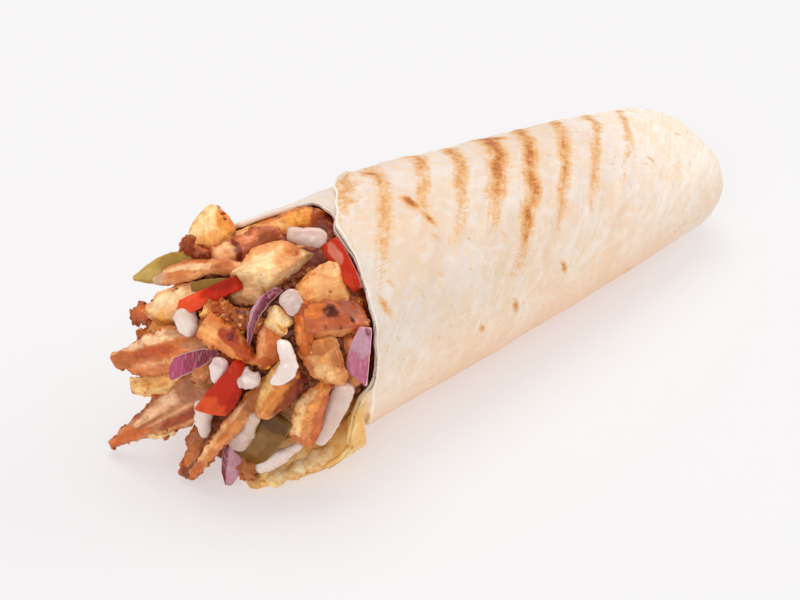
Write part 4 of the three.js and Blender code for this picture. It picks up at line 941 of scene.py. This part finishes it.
def crumb_tree(name, tones):
    """Nodes that scatter irregular bits over a mesh, denser where its attribute "crisp" is high.
    Each takes a tone of its own from a run of (place, colour) stops."""
    tree = bpy.data.node_groups.new(name, "GeometryNodeTree")
    tree.interface.new_socket("Geometry", in_out="INPUT", socket_type="NodeSocketGeometry")
    for label, kind in (("Size", "Float"), ("Density", "Float"), ("Roughness", "Float"),
                        ("Seed", "Int"), ("Material", "Material")):
        tree.interface.new_socket(label, in_out="INPUT", socket_type="NodeSocket" + kind)
    tree.interface.new_socket("Geometry", in_out="OUTPUT", socket_type="NodeSocketGeometry")
    given = tree.nodes.new("NodeGroupInput").outputs
    crisp = add(tree, "GeometryNodeInputNamedAttribute", {"Name": "crisp"}, data_type="FLOAT")
    crisp = add(tree, "ShaderNodeMapRange", {0: crisp, 1: 0.12, 2: 0.6, 3: 0.0, 4: 1.0})
    density = add(tree, "ShaderNodeMath", {0: given["Density"], 1: crisp}, operation="MULTIPLY")
    spots = add(tree, "GeometryNodeDistributePointsOnFaces", {
        "Mesh": given["Geometry"], "Density": density, "Seed": given["Seed"]}).node.outputs
    size = add(tree, "FunctionNodeRandomValue", {
        0: CRUMB_LEAST, 1: CRUMB_MOST, "Seed": given["Seed"]}, data_type="FLOAT_VECTOR")
    size = add(tree, "ShaderNodeVectorMath", {0: size, "Scale": given["Size"]}, operation="SCALE")
    lie = add(tree, "FunctionNodeRandomValue", {
        0: (-0.5, -0.5, 0.0), 1: (0.5, 0.5, 6.28), "Seed": given["Seed"]}, data_type="FLOAT_VECTOR")
    lie = add(tree, "FunctionNodeEulerToRotation", {0: lie})
    lie = add(tree, "FunctionNodeRotateRotation", {0: spots["Rotation"], 1: lie},
              rotation_space="LOCAL")
    bits = add(tree, "GeometryNodeInstanceOnPoints", {
        "Points": spots["Points"], "Rotation": lie, "Scale": size,
        "Instance": add(tree, "GeometryNodeMeshIcoSphere", {"Radius": 1.0, "Subdivisions": 2})})
    drawn = add(tree, "FunctionNodeRandomValue", {2: 0.0, 3: 1.0, "Seed": given["Seed"]}, out=1,
                data_type="FLOAT")
    tone = add(tree, "ShaderNodeValToRGB", {0: drawn})
    stops = tone.node.color_ramp.elements
    stops[0].color, stops[1].color = paint(tones[0][1]), paint(tones[-1][1])
    for at, code in tones[1:-1]:
        stops.new(at).color = paint(code)
    bits = add(tree, "GeometryNodeStoreNamedAttribute", {
        "Geometry": bits, "Name": "colour", "Value": tone}, data_type="FLOAT_COLOR",
        domain="INSTANCE")
    bits = add(tree, "GeometryNodeRealizeInstances", {0: bits})
    # Noise with lumps a little under a millimetre across makes each bit uneven
    field = add(tree, "ShaderNodeTexNoise", {"Scale": 1100.0, "Detail": 2.0}, out="Color")
    away = add(tree, "ShaderNodeVectorMath", {0: field, 1: (0.5, 0.5, 0.5)}, operation="SUBTRACT")
    far = add(tree, "ShaderNodeMath", {0: given["Roughness"], 1: 5.0}, operation="MULTIPLY")
    far = add(tree, "ShaderNodeMath", {0: given["Size"], 1: far}, operation="MULTIPLY")
    away = add(tree, "ShaderNodeVectorMath", {0: away, "Scale": far}, operation="SCALE")
    bits = add(tree, "GeometryNodeSetPosition", {"Geometry": bits, "Offset": away})
    bits = add(tree, "GeometryNodeSetMaterial", {"Geometry": bits, "Material": given["Material"]})
    tree.links.new(bits, tree.nodes.new("NodeGroupOutput").inputs[0])
    return tree


def grown(name, ground, tree, **values):
    """What the nodes make of a ground object, as a plain mesh of its own. The ground is deleted."""
    modifier = ground.modifiers.new(name, "NODES")
    modifier.node_group = tree
    for item in tree.interface.items_tree:
        if item.in_out == "INPUT" and item.name in values:
            modifier[item.identifier] = values[item.name]
    held = bpy.context.evaluated_depsgraph_get()
    mesh = bpy.data.meshes.new_from_object(ground.evaluated_get(held), depsgraph=held)
    ground.modifiers.remove(modifier)
    bpy.data.objects.remove(ground)
    mesh.name = name
    places = np.zeros(len(mesh.vertices) * 3, np.float32)
    mesh.vertices.foreach_get("co", places)
    box = np.array(cad_box) + np.array([[KEPT_IN], [-KEPT_IN]])
    inside = np.clip(places.reshape(-1, 3), *box)
    mesh.vertices.foreach_set("co", inside.ravel())
    mesh.shade_smooth()
    made = bpy.data.objects.new(name, mesh)
    bpy.context.collection.objects.link(made)
    return made


crumb_ground = heap("crumb_ground", [piece for piece in slices if piece["tip"][0] < -BARE],
                    rings=24, broad=9)
crumbs = grown("chicken_crumbs", crumb_ground, crumb_tree("meat_crumbs", CRUMB_TONES),
               Size=CRUMB_SIZE / 1000, Density=CRUMB_DENSITY * 1e6, Roughness=CRUMB_ROUGHNESS,
               Seed=CRUMB_SEED, Material=meat)
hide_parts("chicken_filling")
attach(crumbs, "root")

# Bits of meat that fill the gaps between the slices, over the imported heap
BIT_SIZE = 1.5  # half length of a middling bit
BIT_DENSITY = 0.22  # bits on each square millimetre of the heap
BIT_ROUGHNESS = 0.3
BIT_SEED = 11
BIT_TONES = ((0, "#5a1606"), (0.35, "#7e2c10"), (0.65, "#a34c1e"), (0.85, "#c4722e"),
             (1, "#dc9a56"))
open_part = (1 - eased(core_rings[..., 0], -8, 2)) * (1 - near_lip[..., 0])
heap_ground = closed_mesh("heap_ground", [(core_rings, {"crisp": open_part})])
bits = grown("chicken_bits", heap_ground, crumb_tree("meat_bits", BIT_TONES), Size=BIT_SIZE / 1000,
             Density=BIT_DENSITY * 1e6, Roughness=BIT_ROUGHNESS, Seed=BIT_SEED, Material=meat)
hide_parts("chicken_filling")
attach(bits, "root")

# ------------------------------------------------------------------------------------------------
# The torn lip's shreds: ragged tongues of juice-soaked dough along the edge of the inner turn,
# where the flatbread tore and rests on the table
# ------------------------------------------------------------------------------------------------
SHRED = dict(thick=1.9, face=(-0.3, -0.3, 0.9), left=(0.8, 0.9, 1.0, 0.6),
             right=(0.8, 1.0, 0.9, 0.7), blunt=1.0, crumple=0.6, tear=0.9, relief=0.5, fibre=0.04,
             rim="#e8b878", rimmed=0.4, colour="#f8d49a",
             patches=[(-0.5, 0, 0.9, 1.2, "#ffe6b8")])
SHREDS = [
    dict(root=(-6, -25.5, 11), tip=(-11.6, -25.2, 8.8), width=4.5),
    dict(root=(-9, -22.6, 7.6), tip=(-14.8, -21.6, 5.6), width=5.5),
    dict(root=(-13, -19.6, 5.2), tip=(-19.4, -18.4, 3.4), width=5, colour="#e8bc7e"),
    dict(root=(-17.5, -16.6, 3.6), tip=(-24.2, -16.4, 2.3), width=5.5),
    dict(root=(-20, -13, 2.8), tip=(-27.4, -12.4, 1.6), width=4.6, colour="#e2b06e"),
    dict(root=(-20.5, -9.4, 2.6), tip=(-27.0, -9.8, 1.6), width=5.2, colour="#f0c88e"),
    dict(root=(-18.5, -5.6, 2.4), tip=(-25.6, -5.2, 1.5), width=5),
    dict(root=(-15.5, -1, 2.4), tip=(-22.4, 0, 1.5), width=5.6),
    dict(root=(-11, 4.6, 2.8), tip=(-18, 5.6, 1.9), width=5.4, colour="#e8b87a"),
]
# Dough soaked with fat and juice: soft and clearer than dry dough, with oily golden places
soaked_dough, tree, bsdf = finish("soaked_dough", Roughness=0.5, Subsurface_Weight=0.3,
                                  Subsurface_Scale=0.003, Subsurface_Radius=(1.0, 0.65, 0.35),
                                  Specular_IOR_Level=0.15)
tone = add(tree, "ShaderNodeAttribute", out="Color", attribute_name="colour")
tone = tinted(tree, tone, paint("#e4ac66"), pattern(tree, 1.6, 4, shift=4), 0.5, 0.68, 0.5)
tone = tinted(tree, tone, paint("#f9daa4"), pattern(tree, 2.6, 4, shift=6), 0.5, 0.66, 0.5)
tree.links.new(tone, bsdf.inputs["Base Color"])
bumped(tree, bsdf, 0.35, 0.6, (pattern(tree, 0.9, 5), 1.0))
shreds = heap("flatbread_shreds", [
    {"seed": number, **SHRED, **piece} for number, piece in enumerate(SHREDS, start=80)],
    rings=48, broad=16)
shreds.data.materials.append(soaked_dough)
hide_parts("flatbread")
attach(shreds, "root")

# ------------------------------------------------------------------------------------------------
# Toppings: knife-cut strips of tomato, slices of red onion with a pale cut rim, and sliced
# pickled cucumber. All are wet and smooth, with sharper edges than the torn chicken, and were
# laid on the chicken before it was rolled up.
# ------------------------------------------------------------------------------------------------
CUT = dict(reach=(1.15, 1.15), blunt=0.45, square=9, thin=0.1, crumple=0.25, tear=0.14, relief=0.16,
           fibre=0.02, rimmed=0, depth=0.35)


def dress(family, table, material, **fineness):
    """Makes each piece of a family, each in the place of its own node."""
    for number, piece in enumerate(table, start=1):
        made = heap(f"{family}_piece_{number}", [{**CUT, "seed": 50 + number, **piece}], **fineness)
        made.data.materials.append(material)
        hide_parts(f"{family}_{number}")
        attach(made, "root")


TOMATO = [
    dict(root=(-22, -4, 60), tip=(-30, 8.5, 50.5), width=4.4, thick=4, shape=(0.95, 1, 1, 1.05),
         slant=-1.6, colour="#c02810",
         patches=[(0.9, 0, 1.0, 1.6, "#ea5028"), (-0.9, 0.6, 0.8, 1.0, "#9c220c")]),
    dict(root=(-31, -14, 43.5), tip=(-35, -8.5, 29), width=9, thick=4,
         left=(0.35, 0.75, 1.0, 1.0, 0.75), right=(0.3, 0.45, 0.65, 0.9, 1.05), slant=1.4,
         colour="#ba2810",
         patches=[(0.9, 0.1, 0.5, 1.2, "#d65024"), (0.0, -0.8, 1.0, 0.4, "#a41c08")]),
    # Its pinkish patch is a painted highlight
    dict(root=(3, -14, 65), tip=(1.3, -25, 58), width=5.6, thick=4, shape=(0.9, 1.0, 0.9, 0.8, 0.5),
         colour="#b82a10",
         patches=[(-0.5, 0, 0.5, 0.6, "#d07460"), (0.6, 0.4, 0.5, 0.6, "#c4381a")]),
]
# Ripe tomato: glossy and wet, a little clear, with paler threads in the flesh
tomato, tree, bsdf = finish("wet_tomato", Roughness=0.25, Subsurface_Weight=0.12,
                            Subsurface_Scale=0.002, Subsurface_Radius=(1.0, 0.25, 0.12),
                            Coat_Weight=0.03, Specular_IOR_Level=0.15)
red = add(tree, "ShaderNodeAttribute", out="Color", attribute_name="colour")
threads = pattern(tree, 1.6, 3, (1, 1, 3))
red = tinted(tree, red, paint("#f0744c"), threads, 0.58, 0.75, 0.4)
tree.links.new(red, bsdf.inputs["Base Color"])
bumped(tree, bsdf, 0.25, 0.4, (pattern(tree, 2.0, 3), 1.0))
dress("tomato", TOMATO, tomato)

RED_ONION = [
    dict(root=(-31.6, -5.6, 43.6), tip=(-35.6, 7.2, 34.2), width=6, thick=2.2,
         left=(0.25, 0.6, 0.8, 0.85, 0.9), right=(0.25, 0.8, 0.95, 1.0, 0.9), slant=-0.8,
         colour="#9c3450", patches=[(0.9, 0, 0.8, 1.6, "#ac4564"), (-0.7, 0, 0.7, 1.4, "#7c1c2a")]),
    # The light violet patch along one side is a painted highlight
    dict(root=(-18, -15, 61), tip=(-28, -15, 50), width=3.0, thick=2.4,
         shape=(0.7, 1, 0.9, 0.6, 0.2), bend=1.2, skew=(-0.9, 1.0, 1.5, 0.7, -0.9),
         colour="#823a4a",
         patches=[(0.2, 0.9, 1.0, 0.5, "#b88090"), (-0.4, -0.6, 0.6, 0.6, "#6a1a28")]),
    # Its lilac patch is a painted reflection
    dict(root=(-2, -31.6, 48.8), tip=(-6.4, -33.6, 37.4), width=6.4, thick=2.2,
         left=(0.5, 0.62, 0.66, 0.7, 0.75, 0.8), right=(0.45, 0.75, 1.0, 1.1, 1.1, 1.05),
         slant=-1.4, colour="#b6607c",
         patches=[(-0.55, 0, 0.7, 1.4, "#bd8e9c"), (-1.0, -0.6, 0.3, 0.6, "#8c4a5c")]),
    dict(root=(-26.5, -5.7, 12), tip=(-31.4, -7.6, 1.9), width=5.8, thick=2.2,
         shape=(0.6, 1, 1, 0.85, 0.3), colour="#bd8690", patches=[(0, 0.9, 1.3, 0.5, "#78202c")]),
]
# Red onion: purple skin side, finely lined, and a pale rim where the knife went through
onion, tree, bsdf = finish("red_onion_flesh", Roughness=0.24, Subsurface_Weight=0.25,
                           Subsurface_Scale=0.002, Subsurface_Radius=(1.0, 0.5, 0.6),
                           Coat_Weight=0.05, Specular_IOR_Level=0.25)
purple = add(tree, "ShaderNodeAttribute", out="Color", attribute_name="colour")
lines = pattern(tree, 0.8, 2, (1, 1, 6))
lines = add(tree, "ShaderNodeMapRange", {0: lines, 1: 0.5, 2: 0.7, 4: 0.35},
            interpolation_type="SMOOTHSTEP")
purple = add(tree, "ShaderNodeMix", {0: lines, 6: purple, 7: paint("#e0a8b4")}, out=2,
             data_type="RGBA")
edge = add(tree, "ShaderNodeAttribute", out="Fac", attribute_name="edge")
purple = tinted(tree, purple, paint("#f3cfc8"), edge, 0.62, 0.9, 0.85)
tree.links.new(purple, bsdf.inputs["Base Color"])
bumped(tree, bsdf, 0.15, 0.4, (lines, 1.0))
dress("red_onion", RED_ONION, onion)

PICKLE = [
    # Its darker patch is painted shade
    dict(root=(-17, 18, 55), tip=(-28, 30.5, 49.5), width=8, thick=1.6,
         left=(0.7, 0.9, 0.95, 0.9, 0.6, 0.15), right=(0.8, 1.0, 1.1, 0.95, 0.6, 0.15), curl=-0.5,
         colour="#b89448",
         patches=[(-0.3, 0.5, 0.7, 0.5, "#a68238"), (0.7, 0, 0.5, 0.6, "#c8a85c")]),
    dict(root=(-25, -21, 27), tip=(-26, -9.5, 8.5), width=10.5, thick=1.8,
         left=(0.9, 1.0, 1.0, 0.9, 0.6), right=(0.7, 0.9, 1.0, 0.95, 0.8), colour="#7c531c",
         patches=[(0.3, 0, 0.6, 0.6, "#8a6430"), (-0.9, 0, 0.4, 1.2, "#5e3a0c")]),
    # This small slice is painted dark as shade, for the shadow of the slices over it
    dict(root=(-22, -2, 59), tip=(-26, 8, 55.5), width=3.5, thick=1.8, colour="#8c6828"),
]
# Pickled cucumber: dull khaki flesh under a darker skin at the rim
pickled, tree, bsdf = finish("pickled_cucumber", Roughness=0.28, Subsurface_Weight=0.25,
                             Subsurface_Scale=0.002, Subsurface_Radius=(1.0, 0.8, 0.3),
                             Coat_Weight=0.04, Specular_IOR_Level=0.2)
khaki = add(tree, "ShaderNodeAttribute", out="Color", attribute_name="colour")
edge = add(tree, "ShaderNodeAttribute", out="Fac", attribute_name="edge")
khaki = tinted(tree, khaki, paint("#94742c"), edge, 0.75, 0.95, 0.5)
tree.links.new(khaki, bsdf.inputs["Base Color"])
bumped(tree, bsdf, 0.2, 0.5, (pattern(tree, 1.5, 3), 1.0))
dress("pickle", PICKLE, pickled)

# ------------------------------------------------------------------------------------------------
# Garlic sauce: thick white yogurt sauce, squeezed on in short runs and dollops with rounded
# ends. Each lies on the slices, and the lower ones are thinner, where it ran down between them.
# ------------------------------------------------------------------------------------------------
# A run's paler patch off its middle is a faint painted highlight
DOLLOP = dict(reach=(1.25, 1.25), blunt=1.8, square=3, thin=0.35, crumple=0.4, tear=0.5, relief=0.3,
              fibre=0.0, depth=0.1, colour="#e0cabc", patches=[(0.3, 0.2, 1.1, 0.9, "#e8d6cb")])
GARLIC_SAUCE = [
    # The topmost run is painted greyer and darker, as painted shade
    dict(root=(-4, -6, 68), tip=(2, -12, 66.5), width=5.2, thick=3.4,
         shape=(0.9, 0.9, 1, 1.05, 0.9), colour="#d3b2a4",
         patches=[(0.2, 0.3, 1.2, 0.9, "#d8bbad")]),
    dict(root=(-31, 7.5, 50.4), tip=(-33, 3, 46.2), width=6.2, thick=3.6,
         left=(1.0, 1.1, 1.0, 0.9, 0.5), right=(0.7, 0.9, 0.8, 0.7, 0.4)),
    dict(root=(-33, -10.5, 44), tip=(-34, -8.5, 37.6), width=5, thick=2.6,
         left=(0.7, 0.8, 0.8, 0.8, 0.4), right=(1, 1, 1.1, 0.8, 0.4), colour="#d4b8b2"),
    dict(root=(-31.4, -15.4, 41), tip=(-29, -19.5, 39.8), width=5.8, thick=3,
         left=(0.8, 1, 0.8, 0.9, 0.6), right=(0.8, 1.1, 1.1, 0.8, 0.3), colour="#cdb2aa",
         patches=[(0.3, 0.2, 1.1, 0.9, "#dcc8be")]),
    dict(root=(-34, -3, 27), tip=(-33, -0.5, 16), width=5, thick=3.2,
         left=(0.9, 1.0, 0.7, 0.7, 0.5), right=(1.1, 1.1, 1.2, 0.8, 0.5)),
    dict(root=(-30, -18, 28), tip=(-27, -7, 11.5), width=5.8, thick=2.8,
         left=(0.7, 0.6, 1.0, 0.9, 1.1), right=(0.4, 0.7, 0.8, 1.1, 1), relief=0.12,
         colour="#cfb29c", patches=[(0.6, 0, 0.8, 1.0, "#dfc6b6")]),
    dict(root=(-19.6, -23, 15.6), tip=(-25, -13, 6.4), width=4.4, thick=2.4,
         left=(0.5, 0.7, 1.1, 1.1, 0.6), right=(0.4, 0.8, 0.9, 1.1, 0.8), colour="#e2cbbc"),
    dict(root=(-10.4, -32.4, 34.5), tip=(-15.4, -27.6, 19), width=6.0, thick=3,
         left=(0.8, 1.0, 1.0, 0.9, 0.7), right=(0.9, 1, 0.9, 0.8, 0.6), square=5, colour="#dcc2b4",
         patches=[(0.2, 0.2, 1.2, 0.9, "#d8bcac")]),
    dict(root=(-22, -23.5, 50), tip=(-26, -24.5, 41), width=5.2, thick=3.2,
         left=(0.6, 0.9, 1.1, 1, 0.6), right=(0.9, 0.9, 0.7, 0.9, 0.9),
         skew=(0.8, -0.2, -1.1, -0.8, 0.8), colour="#f0e0d6"),
    dict(root=(-16.4, -17.6, 60.4), tip=(-15.4, -21, 56), width=6, thick=2,
         shape=(0.8, 1, 0.9, 0.9, 0.7), square=5, tear=0.2, colour="#d2b8ae", patches=[]),
]
# Yogurt and garlic sauce: thick, off-white, clear at its edges and shiny with oil
sauce, tree, bsdf = finish("garlic_sauce", Roughness=0.22, Subsurface_Weight=0.5, Coat_Weight=0.5,
                           Coat_Roughness=0.08, Subsurface_Scale=0.0025,
                           Subsurface_Radius=(1.0, 0.8, 0.65))
white = add(tree, "ShaderNodeAttribute", out="Color", attribute_name="colour")
tree.links.new(white, bsdf.inputs["Base Color"])
bumped(tree, bsdf, 0.25, 0.35, (pattern(tree, 2.5, 2), 1.0))
dress("garlic_sauce", [{**DOLLOP, **piece} for piece in GARLIC_SAUCE], sauce)

# ------------------------------------------------------------------------------------------------
# The table and the light: a wide white board, a broad soft lamp above it and a weaker one on
# either side of the mouth. They aren't part of the sandwich.
# ------------------------------------------------------------------------------------------------
TABLE_HALF = 7.0  # half the table's width, in metres
TABLE_TOP = -0.0002  # its height: a little below the part's own floor
table_mesh = bpy.data.meshes.new("white_table")
corners = ((-TABLE_HALF, -TABLE_HALF), (TABLE_HALF, -TABLE_HALF), (TABLE_HALF, TABLE_HALF),
           (-TABLE_HALF, TABLE_HALF))
table_mesh.from_pydata([(*spot, TABLE_TOP) for spot in corners], [], [(0, 1, 2, 3)])
table = bpy.data.objects.new("white_table", table_mesh)
bpy.context.collection.objects.link(table)
# Matt white board, lifted by a little glow of its own so that it stays near white in shade
board, tree, bsdf = finish("white_board", Roughness=0.9, Specular_IOR_Level=0.1,
                           Emission_Strength=0.56)
bsdf.inputs["Base Color"].default_value = paint("#98a6aa")
bsdf.inputs["Emission Color"].default_value = paint("#ffedea")
table_mesh.materials.append(board)

scene = bpy.context.scene
scene.view_settings.view_transform = "Standard"
world = bpy.data.worlds.new("studio")
scene.world = world
world.use_nodes = True
background = world.node_tree.nodes["Background"]
background.inputs["Color"].default_value = paint("#fbfafd")
background.inputs["Strength"].default_value = 0.6


def stood(right, up, back, spot):
    """Where a lamp or a camera stands, and how it is turned."""
    return Matrix([[right[i], up[i], back[i], spot[i]] for i in range(3)] + [[0, 0, 0, 1]])


def soft_light(name, place, aim, size, power, colour="#ffffff"):
    """A round lamp of so many metres and watts, turned to where it aims."""
    lamp = bpy.data.lights.new(name, "AREA")
    lamp.shape, lamp.size, lamp.energy, lamp.color = "DISK", size, power, paint(colour)[:3]
    made = bpy.data.objects.new(name, lamp)
    spot, target = np.array(place), np.array(aim)
    away = (spot - target) / np.linalg.norm(spot - target)
    right = np.cross((0, 0.001, 1), away)
    right /= np.linalg.norm(right)
    made.matrix_world = stood(right, np.cross(away, right), away, spot)
    bpy.context.collection.objects.link(made)


soft_light("key", (0.35, 0.5, 2.7), (0, 0, 0.02), 2.2, 35.5, "#fffaf4")
soft_light("fill_left", (-2.1, -1.2, 1.3), (0, 0, 0.03), 1.8, 22.0)
soft_light("fill_right", (2.2, -0.9, 1.4), (0, 0, 0.03), 1.8, 15.5, "#fffaf4")

# The camera looks at the mouth from its near side and from above
VIEW_AZIMUTH, VIEW_ELEVATION = math.radians(-45.5), math.radians(32)
VIEW_DISTANCE = 0.557  # metres from the place it looks at,
VIEW_AIM = (52.2, 0, 26.1)  # which is here
VIEW_WIDTH = 800  # pixels
VIEW_SHIFT = (-24.0, -19.4)  # how far the picture is moved over, in the same pixels
back = np.array((math.sin(VIEW_AZIMUTH) * math.cos(VIEW_ELEVATION),
                 -math.cos(VIEW_AZIMUTH) * math.cos(VIEW_ELEVATION), math.sin(VIEW_ELEVATION)))
right = np.array((math.cos(VIEW_AZIMUTH), math.sin(VIEW_AZIMUTH), 0))
eye = (np.array(VIEW_AIM) + MOUTH) / 1000 + back * VIEW_DISTANCE
lens = bpy.data.cameras.new("view")
lens.lens, lens.sensor_width = 85, 36
lens.shift_x, lens.shift_y = VIEW_SHIFT[0] / VIEW_WIDTH, VIEW_SHIFT[1] / VIEW_WIDTH
lens.clip_start = 0.01
camera = bpy.data.objects.new("view", lens)
camera.matrix_world = stood(right, np.cross(back, right), back, eye)
bpy.context.collection.objects.link(camera)
scene.camera = camera
